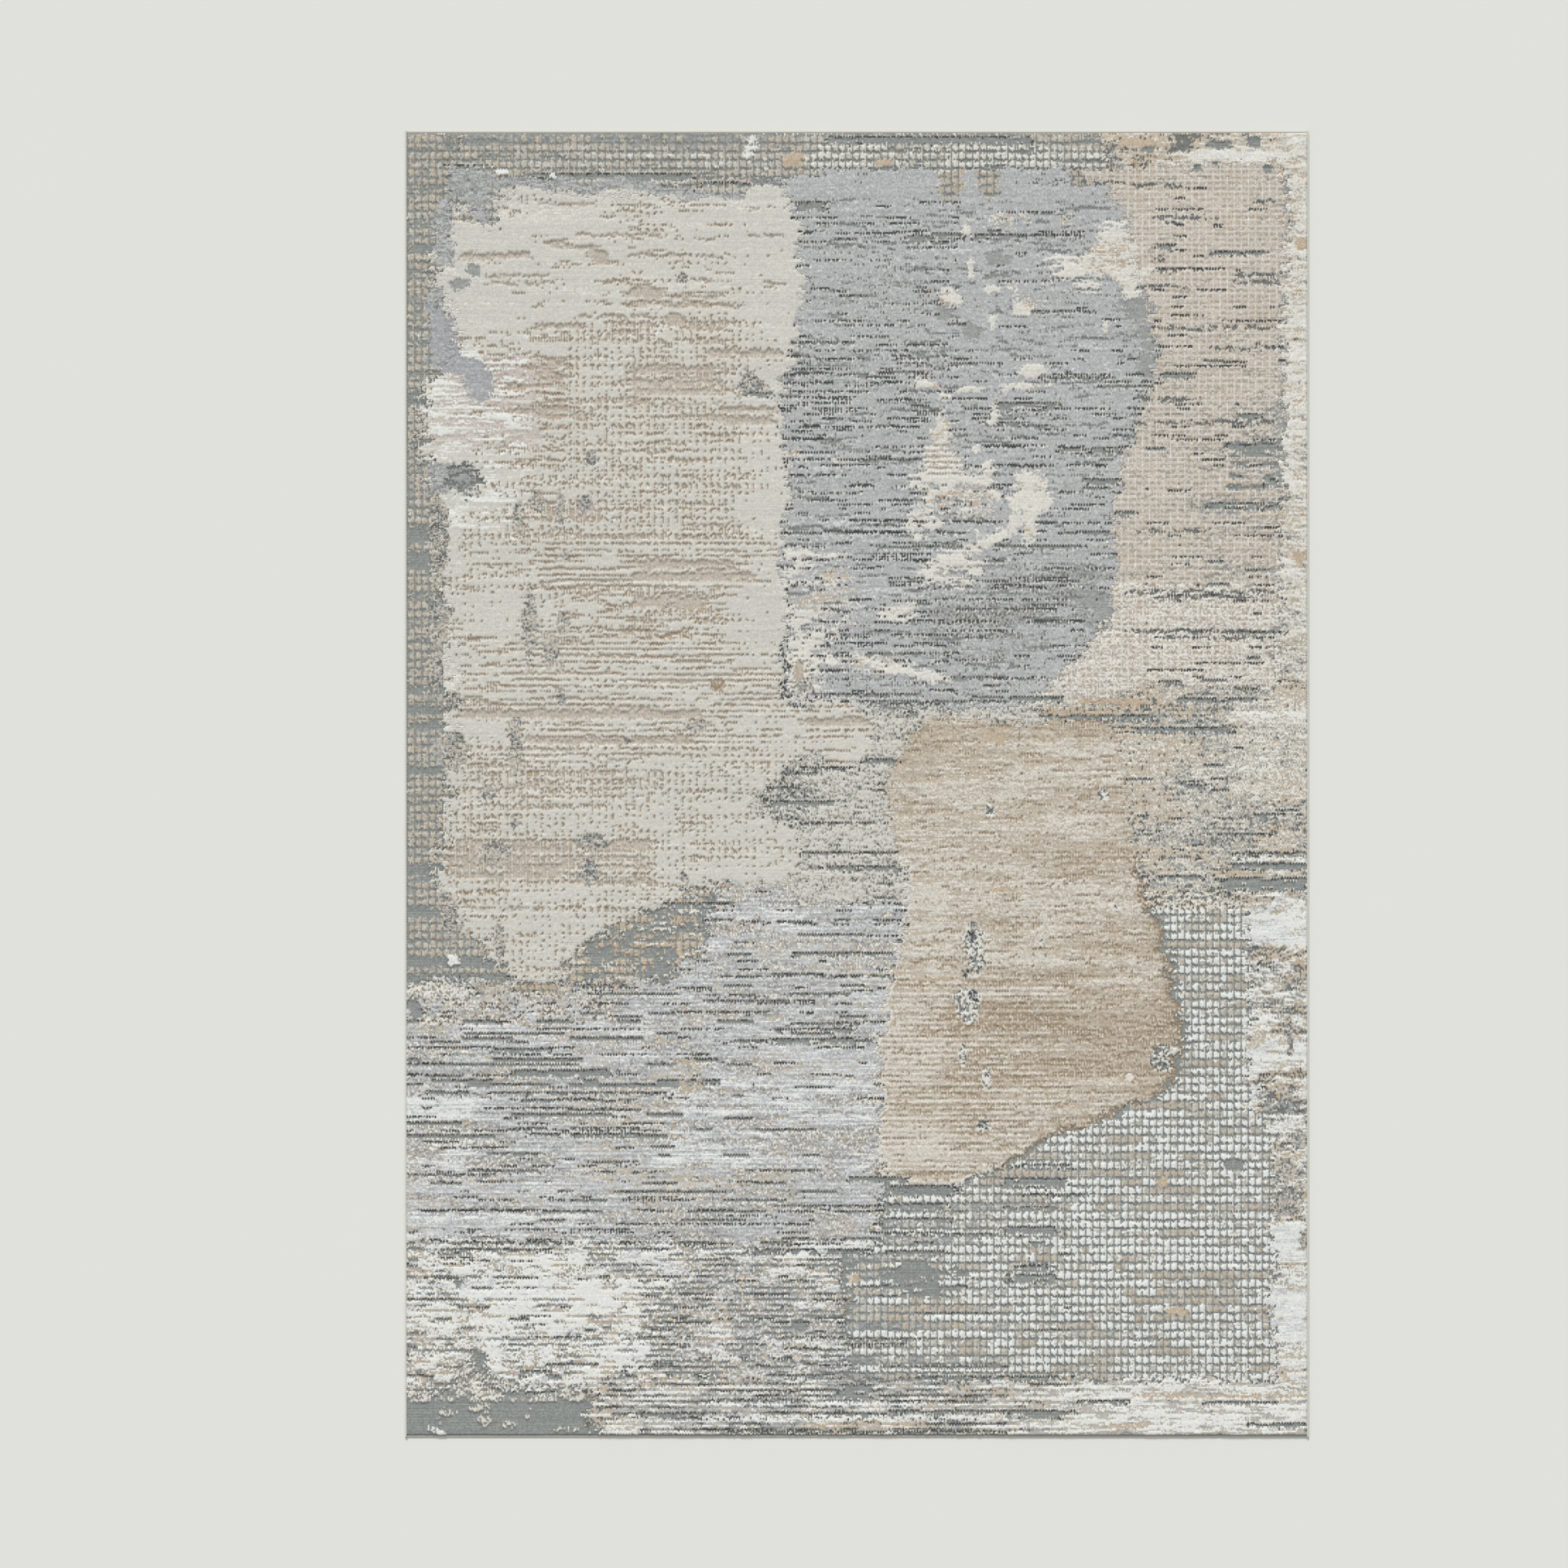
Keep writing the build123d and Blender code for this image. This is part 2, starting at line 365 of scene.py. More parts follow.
def bars(*corners):
    """Sunken bars with a straight top and a ragged bottom, two stitches high without a y1."""
    for x0, y0, x1, *y1 in corners:
        high = (Y > y0) & (RAGGED_Y < max([y0 + 0.5, *y1]))
        sink(high & span(x0, x1) & (LONG_RUN < 0.93))


def bar_rows(inside, seed, density, high=2):
    """Broken bars so many stitches high, on about one band of rows in four."""
    band = ROW // high
    order = np.random.default_rng(seed).integers(0, 4, ROWS // (4 * high) + 1)
    on_band = band % 4 == order[band // 4]
    sink(inside & on_band & (noise(seed, 26)[band * high, COL] < density))


def grooves(*lines):
    """Grooves one stitch high, given as Y and the X where each starts and ends."""
    for y, x0, x1 in lines:
        carve((abs(Y - y) <= 0.125) & span(x0, x1) & (LONG_RUN < 0.85))


def dashes(weave, *lines):
    """Dashes one or two stitches high, broken here and there."""
    for y, x0, x1 in lines:
        lay((abs(RAGGED_Y - y) <= 0.25) & span(x0, x1) & (RUN < 0.85), weave)


def scatter(inside, weave, where, share):
    """Lays a weave on a share of a mask, where a centred noise is lowest."""
    lay(inside & (where + 0.5 < share), weave)


def carve_rows(inside, seed, density, pitch=6):
    """Broken grooves, on about one row in a pitch."""
    order = np.random.default_rng(seed).integers(0, pitch, ROWS // pitch + 1)
    on_row = ROW % pitch == order[ROW // pitch]
    carve(inside & on_row & (noise(seed, 14) < density))


# --- Which CAD pile field each stitch belongs to ---


def fields_on_grid():
    """Index into PILE_NODES for each stitch, read from the tops of the CAD fields."""
    owner = np.full((ROWS, COLS), -1)
    for index, name in enumerate(PILE_NODES):
        mesh = frame["nodes"][name].data
        mesh.calc_loop_triangles()
        points = np.array([v.co for v in mesh.vertices])
        for triangle in mesh.loop_triangles:
            x, y, z = points[list(triangle.vertices)].T
            if z.min() < PILE_TOP - 1e-5:
                continue
            u = (x - FACE_LEFT) / (FACE_RIGHT - FACE_LEFT) * COLS - 0.5
            v = (FACE_HEAD - y) / (FACE_HEAD - FACE_FOOT) * ROWS - 0.5
            twice_area = (u[1] - u[0]) * (v[2] - v[0]) - (u[2] - u[0]) * (v[1] - v[0])
            if abs(twice_area) < 1e-9:
                continue
            cols = np.arange(max(0, math.ceil(u.min())), min(COLS, math.floor(u.max()) + 1))
            rows = np.arange(max(0, math.ceil(v.min())), min(ROWS, math.floor(v.max()) + 1))
            p, q = np.meshgrid(cols, rows)
            inside = np.ones(p.shape, bool)
            for k in range(3):
                n = (k + 1) % 3
                turn = (u[n] - u[k]) * (q - v[k]) - (v[n] - v[k]) * (p - u[k])
                inside &= turn * np.sign(twice_area) >= -1e-6
            owner[q[inside], p[inside]] = index
    for _ in range(8):
        for shift, axis in ((1, 0), (-1, 0), (1, 1), (-1, 1)):
            empty = owner < 0
            owner[empty] = np.roll(owner, shift, axis)[empty]
    return owner


# The edges of the fields wander by some stitches, and by more at the left.
owner = fields_on_grid()
wander = 1 + 0.8 * (X < 64)
wander_x = 10 * wander * (clouds(100, 14, 6, 1.2) - 0.5)
wander_y = 6 * wander * (clouds(110, 10, 6, 1.2) - 0.5)
ragged_col = np.clip(COL + np.rint(wander_x).astype(int), 0, COLS - 1)
ragged_row = np.clip(ROW + np.rint(wander_y).astype(int), 0, ROWS - 1)
owner = owner[ragged_row, ragged_col]


def field(name):
    """The stitches of one pile field."""
    return owner == PILE_NODES.index(f"{name}_pile")


def ground(name, tone, *steps):
    """Lays a field's own weaves, chosen by a tone, and returns the field."""
    at = field(name)
    lay(at, graded(tone, *steps))
    return at


# --- The pattern, field by field ---

head_check_in_cream = box(48, 6, 61, 11.2) | box(60, 6, 67.4, 9.6)


def cream_field():
    at = (field("cream") | box(17, 10.4, 46, 14)) & ~head_check_in_cream
    amount = 0.23 + 0.5 * STREAK + 0.36 * STREAK_C + 0.3 * CLOUD_C
    amount += shaded(
        (-0.3, 2, 8, 34, 34), (-0.16, 30, 8, 72, 30), (-0.3, 60, 8, 72, 98),
        (0.36, 14, 39, 30, 50), (0.14, 30, 33, 64, 72), (0.16, 39, 41, 56, 47),
        (0.14, 6, 48, 32, 57), (-0.2, 5, 37, 13, 70), (0.2, 10, 67, 34, 73), (0.1, 20, 22, 66, 31),
        (0.2, 24, 73, 62, 80), (-0.04, 8, 78, 22, 98), (0.2, 34, 79, 56, 90), (0.12, 22, 80, 34, 96),
        (0.1, 6, 96, 30, 104), (0.14, 10, 108, 60, 124), (0.5, 8, 125, 44, 133),
        (-0.1, 44, 124, 80, 136), (-0.06, 8, 136, 60, 152), (-0.2, 66, 98, 90, 112),
    )
    amount += 0.34 * STRIPE * shaded((-1, 24, 72, 66, 81), (-1, 18, 90, 90, 112))
    grid = CLOUD_B + shaded((0.6, 28, 32, 68, 74), (-0.6, 4, 34, 28, 60), (0.7, 8, 108, 70, 152)) > 0.1
    dark = mixed(amount > 0.7, taupe, plain((178, 163, 144), LOW))
    lay(at, mixed(STREAK + 0.6 * DASH < 0.46, cream, ivory))
    lay(at & (amount > np.where(grid, GRID_SCREEN, ROW_SCREEN)), dark)
    lay(at & box(4, 40, 24, 56) & (STREAK_B < 0.06), plain((201, 193, 184), RAISED))
    lay(at & box(4, 38, 22, 72) & (STREAK_C + 0.3 * CLOUD_C > 0.08 + X / 90), white)
    boxes(taupe, (10.2, 21.4, 22.3, 22.6), (25, 19.4, 29.2, 20), (25.6, 20.1, 34.3, 20.7),
          (30.7, 18.1, 46, 18.6), (30.5, 32.5, 45, 33), (40.7, 30.4, 60, 31), (46.6, 29.1, 56, 29.6),
          (23, 34, 32, 34.8), (40, 41.5, 55.6, 42.7), (40, 43.8, 55.6, 44.6), (40, 45.3, 55.6, 46.5),
          (55.6, 48.6, 65.6, 49.7), (55.6, 50.3, 65.6, 51.8), (53.5, 38.6, 67, 39.8),
          (40.2, 75.8, 57.6, 77), (40, 77.9, 62, 79.2), (41, 82.2, 53, 84.4), (10, 102.2, 53, 103.8),
          (22, 107.2, 50, 108.4), (70.8, 103.8, 83, 105))
    discs(taupe, (32.5, 20.2, 36.4, 23.3), (40, 27.3, 46.4, 30), (46, 32.2, 50, 34.2))
    dashes(taupe, (23.2, 14.6, 17), (25.6, 14, 26), (26.9, 14.6, 26.4), (19, 52, 55.6), (18.3, 60, 67.6),
           (21.8, 40, 44), (21.9, 46, 50.5), (22, 52, 58.6), (26.5, 50, 55), (26.8, 64, 67), (12.8, 24, 34),
           (13.6, 60, 67), (69.6, 50, 60), (34.8, 49, 57.6), (48.2, 40, 55.6), (137.3, 10.5, 24.5))
    discs(cream, (45.3, 35, 48, 37.1), (58.1, 66.6, 62, 68.9), rough=0.2)
    lay(at & within(18, 112, 46, 120) & LATTICE_ROW & (PAIR < 0.6), taupe)


def spots_in_cream():
    discs(steel, (7.9, 25.9, 12, 28.2), (11, 23.6, 13.3, 25.9))
    discs(grey_pepper, (19.2, 65.8, 21.3, 71.2), (22.5, 63.5, 24.8, 67.8), (27, 63.2, 28.4, 70.4),
          (28, 74.3, 29.2, 76.3), (46, 82, 47.6, 84.7), (26.9, 98.3, 28.6, 101.4),
          (38.4, 106.8, 40.2, 108.5), (13.6, 115.7, 16.7, 118.8), (18.7, 121, 20.4, 124),
          (13.3, 125.2, 19, 129.6), (30, 124.2, 36.4, 127.3), (30.6, 128, 34.4, 133.4),
          (31.8, 56.8, 34, 59.4), (49.7, 104, 53.4, 106.5), (48.6, 131, 50.4, 133), (16, 140, 18, 147),
          (6.5, 99, 10.5, 103), (6.5, 106, 11.4, 113), (30.6, 64.4, 33.6, 67.2), (48.4, 24.6, 50.2, 27))
    discs(grey_pepper, (20.8, 80, 23.6, 94), (24.6, 89, 27.2, 94.6), (27, 85, 29, 89),
          (18.5, 103, 21, 114.4))
    lay(outline((61, 41.4), (65.6, 46.8), (58.3, 47.2)), grey_pepper)
    bars((60, 46.2, 65.4, 47))
    discs(mixed(PAIR < 0.5, plain(UMBER, MIDDLE), taupe), (54, 96.6, 56.8, 99.4), rough=0.3)


def blue_margin():
    """Blue-grey that shows between the left border and the cream field."""
    tone = 0.55 + 0.2 * STREAK_C + 0.5 * DASH
    weave = graded(tone, (0.24, dark_slate), (0.5, steel), (0.98, blue_grey), pale_blue)
    lay(outline((8, 5.4), (11, 7.4), (15.6, 7.6), (15, 11.6), (14.8, 16.4), (13.4, 16.8),
                (10.6, 12.4), (9, 11), (7.6, 17), (5.6, 17), (7.4, 10)), weave)
    lay(crack(1.1, (14, 8), (17, 9.4), (21, 8.4), (25, 9.8), (28, 9), (33, 10.8), (38, 8.8),
              (46, 10.6), (52, 11.4), (59, 11.6)), weave)
    boxes(weave, (5.6, 13, 8.5, 24), (4.2, 27.5, 7, 37), (4.4, 40, 11, 41.4), (4.6, 58.6, 8.5, 64.3))
    lay(outline((4.4, 31), (8.6, 33), (9.8, 39.6), (14.8, 41.4), (15.8, 46.6), (12.6, 48.4),
                (10, 43.4), (4.6, 41.6)), mixed(PAIR < 0.8, plain((168, 170, 172), MIDDLE), blue_grey))
    discs(weave, (6.2, 106.8, 11.2, 112.3), (9, 6, 13, 9.4), rough=1.8)
    discs(mixed(STREAK_C < 0.1, steel, dark_slate), (8.5, 57.6, 13.6, 64.2), rough=1.8)
    discs(grey_pepper, (4.2, 64.5, 8, 78.8), (4.2, 80, 7.8, 90.8), (4, 92, 7, 100), (6.8, 136, 9.4, 142))
    discs(white, (16.4, 6.8, 18.2, 7.8), (25.6, 7.6, 26.8, 8.4), rough=1.6)


def checks(at, tone, *steps):
    """Cells of five stitches by six, with slate lines between them."""
    lay(at, graded(tone + 0.3 * CELL + 0.28 * STREAK + 0.2 * DASH, *steps))
    lay(at & CHECK_LINE, slate)


def left_border():
    at = field("left_check")
    checks(at, 0.5, (0.16, slate), (0.34, steel), (0.6, hemp), (0.84, oatmeal), ivory)
    lay(at & (COL % 5 == 1) & (PAIR < 0.5), slate)
    scatter(at & within(7, 20, y1=137), ivory, CLOUD_B + 0.3 * STREAK_C, 0.6)
    for x1, bands in (
        (12, ((3, 3.7),)),
        (7, ((9.7, 10.5), (16, 16.8), (24.6, 25.4), (34.7, 35.4), (36.8, 37.3), (42.4, 43.2),
             (46, 48.4), (54.8, 55.3), (57.4, 57.9), (70, 73.2), (74.3, 77.8), (82, 82.6),
             (90, 90.6), (98.3, 99.4), (101.4, 103.1), (104.5, 105.7), (112.3, 113.8),
             (118.5, 119.2), (129.6, 131.7), (137.4, 139.1), (142.9, 143.5))),
        (19.7, ((146, 148), (149, 150.4))),
    ):
        for y0, y1 in bands:
            lay(at & box(0, y0, x1, y1), slate)
    discs(slate, (1.2, 19.8, 5.5, 21.6))
    discs(white, (7.8, 145.6, 9.9, 147.7), rough=1.4)


def head_border():
    at = field("head_check") | head_check_in_cream
    light = shaded((0.22, 20, 3, 74, 9), (0.5, 72, 2, 114, 8), (-0.25, 0, 0, 72, 3),
                   (-0.3, 74, 0, 112, 2.6), (-0.3, 18, 7.2, 52, 8.9), (-0.2, 57, 6, 72, 9),
                   (0.36, 96, 3, 124, 8))
    checks(at, 0.54 + 0.7 * light + 0.16 * CLOUD_B, (0.1, slate), (0.3, steel), (0.5, hemp),
           (0.84, oatmeal), ivory)
    bars((20.5, 7.5, 51, 8.6), (2, 5.8, 16, 6.4), (52, 9, 66, 9.7), (75, 1, 111, 2.2))
    scatter(at, slate, STREAK + 0.3 * CLOUD_C, 0.06)
    discs(slate, (67, 7.2, 69, 9.2), (62, 8, 72, 10))
    discs(tan, (67, 3.5, 70.6, 7), (83, 4.8, 86, 6.2))
    lay(crack(0.7, (61.8, 1.2), (60.8, 4.5)) | crack(0.6, (64.6, 5.5), (63.4, 7.5)), white)
    grooves((10.4, 44, 52.5))


def blue_field():
    tone = 0.6 + 0.3 * STREAK + 0.2 * CLOUD + 0.24 * DASH
    tone += shaded((0.04, 72, 8, 126, 16), (0.1, 96, 20, 128, 46), (-0.08, 66, 36, 100, 56),
                   (-0.22, 92, 76, 124, 98), (-0.02, 66, 44, 130, 76), (0.1, 68, 56, 92, 84))
    twill = mixed(TWILL, plain((174, 176, 176), MIDDLE), plain((190, 191, 191), RAISED))
    at = ground("blue_grey", tone, (0.34, steel), (0.9, twill), pale_blue)
    dark = mixed((COL + ROW // 3) % 3 == 0, oatmeal, mixed(PAIR < 0.5, dark_slate, steel))
    lay(at & (0.68 - tone > ROW_SCREEN), dark)
    bar_rows(at & (Y > 16) & ((Y > 40) | (X < 110)), 104, 0.1)
    carve_rows(at & within(0, 13, 98), 101, 0.4, 5)
    carve_rows(at & (Y > 38), 102, 0.3, 5)
    carve_rows(at & within(97, 15, y1=38), 103, 0.1, 7)
    scatter(at & (Y > 12), slate, STREAK_B + 0.4 * STREAK_C, 0.07)
    discs(steel, (120, 81, 126, 88), (103, 20, 107, 24), (99, 33.5, 102, 37), (126.5, 28, 133, 34),
          (129.5, 34, 133.4, 44), (94, 29, 97, 33), rough=1.6)
    bars((69, 12.5, 74.8, 14.1), (89, 18.2, 93, 19.5), (93.9, 18, 98.7, 19.3), (100.3, 18.1, 109.2, 19.4),
         (110.2, 18.1, 120.5, 18.7), (68.6, 37.1, 80, 37.7), (105.1, 47.8, 115.4, 49.5),
         (101.8, 51.3, 111, 52), (115.6, 56, 127, 57), (120.5, 61.4, 130, 62.4), (126, 64, 130, 65.2),
         (89, 73.1, 120, 73.9), (81.3, 92.2, 91.8, 92.8), (72, 99.4, 92), (69.4, 100.6, 107, 101.2),
         (110, 31.6, 122), (112, 43.4, 126))
    grooves((12.4, 89, 99), (14.2, 105, 115), (16.3, 80, 90.8), (26.5, 105, 116), (45, 70, 92),
            (46.9, 67, 79.7), (48, 68, 79), (52.2, 70, 92), (55.4, 101.5, 114.6), (59.1, 103.3, 120),
            (79.6, 94, 120), (82.8, 96, 112), (84.6, 100, 118), (86.4, 88, 104), (88.3, 96, 112),
            (92.7, 69, 80), (93.8, 72, 84))
    teeth = disc(94.2, 3, 99, 12.4) | disc(101.2, 3, 105.4, 12) | disc(117.6, 3, 122, 10.6)
    lay(at & teeth, mixed(CHECK_LINE, slate, hemp))
    edge = box(110, 8.6, 128, 9.3) | crack(0.7, (133, 36), (133.2, 44), (130.4, 48), (129.4, 54))
    lay(edge & (PAIR < 0.5), dark_slate)


def cracks_in_blue():
    weave = graded(CLOUD_C + DASH, (-0.7, tan), (-0.5, oatmeal), ivory)
    spots = CLOUD_C + DASH < -0.3
    for corners in ((102.8, 14.3, 111, 18), (115.4, 13.3, 120.5, 17.4),
                    (111, 24, 116, 28), (67, 55, 70.5, 61), (75.5, 57, 78.5, 62),
                    (67.4, 72, 80.6, 92.2), (84, 80, 92, 86), (120.5, 22.3, 125, 26.6),
                    (104, 27, 114, 33), (94, 27.6, 99, 32), (90, 60, 106, 72), (76, 92, 90, 96.4)):
        lay(disc(*corners, 1.2) & spots, weave)
    lay(outline((124.5, 17), (126.5, 17.6), (127, 20), (129.3, 19.5), (129.2, 25.5), (129.9, 29),
                (128, 30.2), (126.3, 26.5), (122.8, 24.6), (119, 25.2), (116.6, 26.4),
                (116.4, 24.4), (119.8, 22.5), (121, 21.4), (123.5, 19)), weave)
    discs(weave, (90, 61, 98, 66), (89, 65, 93, 71), (117, 21, 129, 27), (123, 17.4, 128, 23),
          (108, 61.6, 113.6, 67), (85, 84.4, 91, 86.6), (92, 76, 99, 80), rough=2.4)
    discs(weave, (94.4, 28.2, 98.2, 30.7), (102.8, 27.2, 105, 28.6), (108, 30.2, 111, 32.8),
          (99.6, 22.4, 100.8, 25.6), (98.4, 16, 99.8, 18.4), (91.3, 68, 95.6, 70.6),
          (103, 63.2, 105.6, 65.3), (94, 74.3, 102, 77), (100, 77.2, 102, 78.7), (93.1, 76.6, 94.3, 80.2),
          (97.2, 45.2, 102.6, 46.1), (109.2, 41.5, 112.8, 43.4), (100.3, 55, 101.8, 56.8),
          (107.1, 67.6, 108.7, 69.6), (103.3, 32.4, 104.6, 34.6), (123.3, 33.4, 124.4, 35.4), rough=1.6)
    corner = box(67, 74, 80, 99) & (CLOUD_C + 0.4 * STREAK_C > 0.02 + (X - 67) / 36)
    lay(corner, weave)
    lay(outline((95.2, 48.6), (96.9, 56), (99, 60.9), (91.4, 60.9), (92.6, 56)), weave)
    lay(box(92.4, 55, 97.8, 60.8) & (ROW % 4 == 0), taupe)
    lay(outline((109.4, 60.4), (113.4, 61), (113.2, 67), (111.6, 69.6), (111.2, 73.6), (110, 74),
                (109.6, 69.6), (109.2, 66), (108.6, 63.5), (108.4, 61)), weave)
    for width, points in (
        (1.1, ((98.4, 61.6), (102.4, 62.4), (103.4, 59.2))),
        (1.2, ((97.4, 61.6), (96.2, 62.4), (94, 64.6), (91.8, 67), (89, 69.7))),
        (1.0, ((99.5, 63), (99.7, 68.2))),
        (1.2, ((108.2, 69.8), (106, 71.4), (103.3, 72.4), (100.2, 74.3))),
        (1.0, ((91.3, 44.7), (94, 45.2), (96.2, 47.6))),
        (1.0, ((106.6, 45), (105.4, 47), (104.2, 48.6), (103.6, 51.2))),
        (0.9, ((107.6, 45.3), (113, 45.2))),
        (1.2, ((79.3, 92.9), (83, 94), (87.4, 95.3))),
        (1.0, ((87.4, 95.3), (94, 96.6), (97, 97))),
        (0.8, ((68.2, 84), (69.6, 88), (72, 91))),
    ):
        lay(crack(width, *points), weave)
    lay(disc(67.5, 93.2, 72.3, 101.6, 0.6) & (SPECK < 0.12), cream_pepper)
    discs(hemp, (68.9, 94, 70.6, 97.4))
    lay(crack(0.5, (67.2, 92), (66.9, 98), (68.4, 101), (72, 101.8)), dark_pepper)


def peach_lattice():
    at = field("peach_lattice")
    greyish = ramp(X, 128, 26) * np.clip((Y - 8) / 40, 0.2, 1) + 0.5 * CLOUD_B
    amount = 0.3 + 0.3 * STREAK_B + 0.3 * STREAK_C + 0.16 * CLOUD_C + 0.2 * greyish
    amount += shaded((0.06, 140, 44, 156, 78), (0.06, 128, 76, 156, 84), (-0.1, 128, 10, 150, 34),
                     (-0.16, 120, 84, 156, 99))
    lay(at, mixed(CLOUD_C + 0.5 * DASH < -0.36, plain((196, 183, 165), RAISED), peach))
    lay(at & (COL % 5 > 1) & (ROW % 4 == 3) & (FLECK < 0.7), plain((186, 174, 158), MIDDLE))
    lay(at & (ROW % 4 == 1) & (FLECK < 0.6), plain((208, 203, 195), HIGH))
    lay(at & LATTICE_COLUMN & (FLECK_B < 0.8), plain((214, 212, 205), HIGH))
    lay(at & (Y > 80) & (SPECK > 0.06), ivory)
    grey = mixed(amount > 0.58 + 0.3 * FLECK_B, plain(STEEL, LOW), plain((174, 170, 160), MIDDLE))
    lay(at & (amount > 0.62 - 0.7 * DASH + 0.3 * (ROW % 2)), grey)
    carve_rows(at & within(131, 10), 111, 0.2, 6)
    bar_rows(at & within(131, 36), 112, 0.1)
    bars((143, 21.1, 152.3, 22), (132.8, 19.8, 135.9, 21), (134.3, 42.6, 139.5, 43.8),
         (147.9, 49.8, 151.2, 50.9), (145, 55.1, 154.6, 56.6), (152, 61.5, 154.6, 62.6),
         (142, 65.6, 155, 66.7), (126, 67.2, 130, 68.3), (134, 97.1, 137.7, 98.1))
    dashes(dark_slate, (9.7, 129, 132.8), (9.7, 134.3, 138.2), (9, 123.6, 128.2), (15.2, 132.8, 143.3),
           (16.4, 134, 137.7), (22.5, 132.8, 135), (24.7, 132.8, 137), (25.4, 147, 154.6),
           (26.6, 147, 155.3), (27.4, 129.5, 138), (34.8, 132.8, 154.8), (38.4, 141.8, 156.4),
           (47.4, 130, 140), (51.5, 130, 154.6), (70.6, 130, 142), (81.5, 128, 154), (82.4, 132, 150),
           (88.5, 128, 150), (89.6, 134, 152), (12.3, 148, 154))
    lay(crack(0.7, (150.5, 5.2), (154.2, 5.2), (155.4, 8)), tan)
    margin = crack(1.3, (156, 6), (156.9, 10), (156.4, 20), (155.4, 32), (156, 44), (155, 60), (155, 96))
    lay(margin & (STREAK_C + 0.5 * SPECK < 0), steel)
    lay(outline((145.6, 55), (154.6, 54.6), (154.6, 63), (146, 63.4)) & (STREAK_C < 0) & (ROW % 8 < 5),
        slate)


def right_cream():
    tone = 0.84 + 0.3 * STREAK_B + 0.3 * CLOUD_C + 0.45 * DASH
    tone += shaded((-0.4, 123, 0, 140, 12), (-0.35, 136, 0, 156, 3.4), (-0.15, 154, 4, 160, 98),
                   (-0.15, 150, 84, 160, 100), (0.2, 133, 3.6, 148, 8), (-0.3, 140, 4.6, 147, 6.4))
    at = ground("right_cream", tone, (0.24, dark_slate), (0.42, warm_or_grey), (0.6, oatmeal),
                (0.96, ivory), white)
    discs(slate, (142.3, 1.4, 146, 3.1), (149, 0.8, 151.2, 2.6), (142.8, 4.9, 144.8, 6.6),
          (130.7, 2, 132.8, 4), (139.6, 6, 141, 7), (152, 6, 153.6, 7.4), rough=1.5)
    discs(tan, (126, 1.2, 133.3, 2.8), (157.5, 18.8, 159.8, 21), (157, 74, 159.6, 77))
    dashes(tan, (47.9, 156.5, 159.6), (60.6, 156.6, 160), (61.4, 157.4, 160), (12.4, 157, 159),
           (28.5, 156.6, 158.6), (35.2, 157, 159.4), (90.5, 156, 159.8), (54.2, 157, 159))


def stipple():
    tone = 0.35 + 0.6 * SPECK + 0.3 * DASH + 0.3 * STREAK_C + 0.1 * CLOUD + 0.16 * TEETH
    corner = soft(147, 100, 166, 118)
    tone += 0.14 * corner + shaded((-0.08, 124, 101, 147, 107), (-0.1, 112, 101, 133, 104.5),
                                   (-0.06, 140, 118, 162, 130), (0.15, 146, 102, 162, 104.6))
    at = ground("stipple", tone, (0.16, dark_slate), (0.38, warm_or_grey), (0.64, oatmeal), (0.95, ivory),
                white)
    carve_rows(at & within(0, 107, 150), 121, 0.1, 8)
    bar_rows(at & (Y > 107), 122, 0.08)
    bars((113.2, 103.2, 132.6, 104), (127.8, 105.5, 146.5, 106.3), (136, 100.2, 150, 101),
         (136.7, 115, 141, 116.2), (149.9, 120.6, 159.5), (144, 124, 154), (146, 127.6, 157.7),
         (145.8, 129.4, 160, 130.6), (130, 131.5, 141.4, 132.3), (144, 131.8, 160, 134.5))
    boxes(tan, (118.6, 100.4, 131.9, 101.4), (113.2, 102.3, 127.8, 103.1), (142.8, 131, 152.6, 131.6))
    dashes(white, (103.2, 146, 159.6), (128.9, 147, 159.6))


def speckle():
    tone = 0.6 + 0.75 * SPECK + 0.3 * DASH + 0.25 * STREAK_C + 0.1 * TEETH
    tone += shaded((-0.2, 62, 104, 72, 124), (-0.2, 92, 99, 120, 101.6))
    at = ground("speckle", tone, (0.08, charcoal_and_shade), (0.3, dark_slate), (0.5, steel), (0.64, oatmeal), cream)
    bar_rows(at & (X < 92), 131, 0.2)
    bars((82, 110.9, 91.8, 111.5), (70, 112.4, 82), (64, 118.3, 76, 119.4), (72, 122, 86),
         (70, 127.3, 80, 128), (74, 129.8, 88, 130.9), (87.8, 102.4, 90.2, 103.7),
         (106.7, 99.9, 116, 100.9))


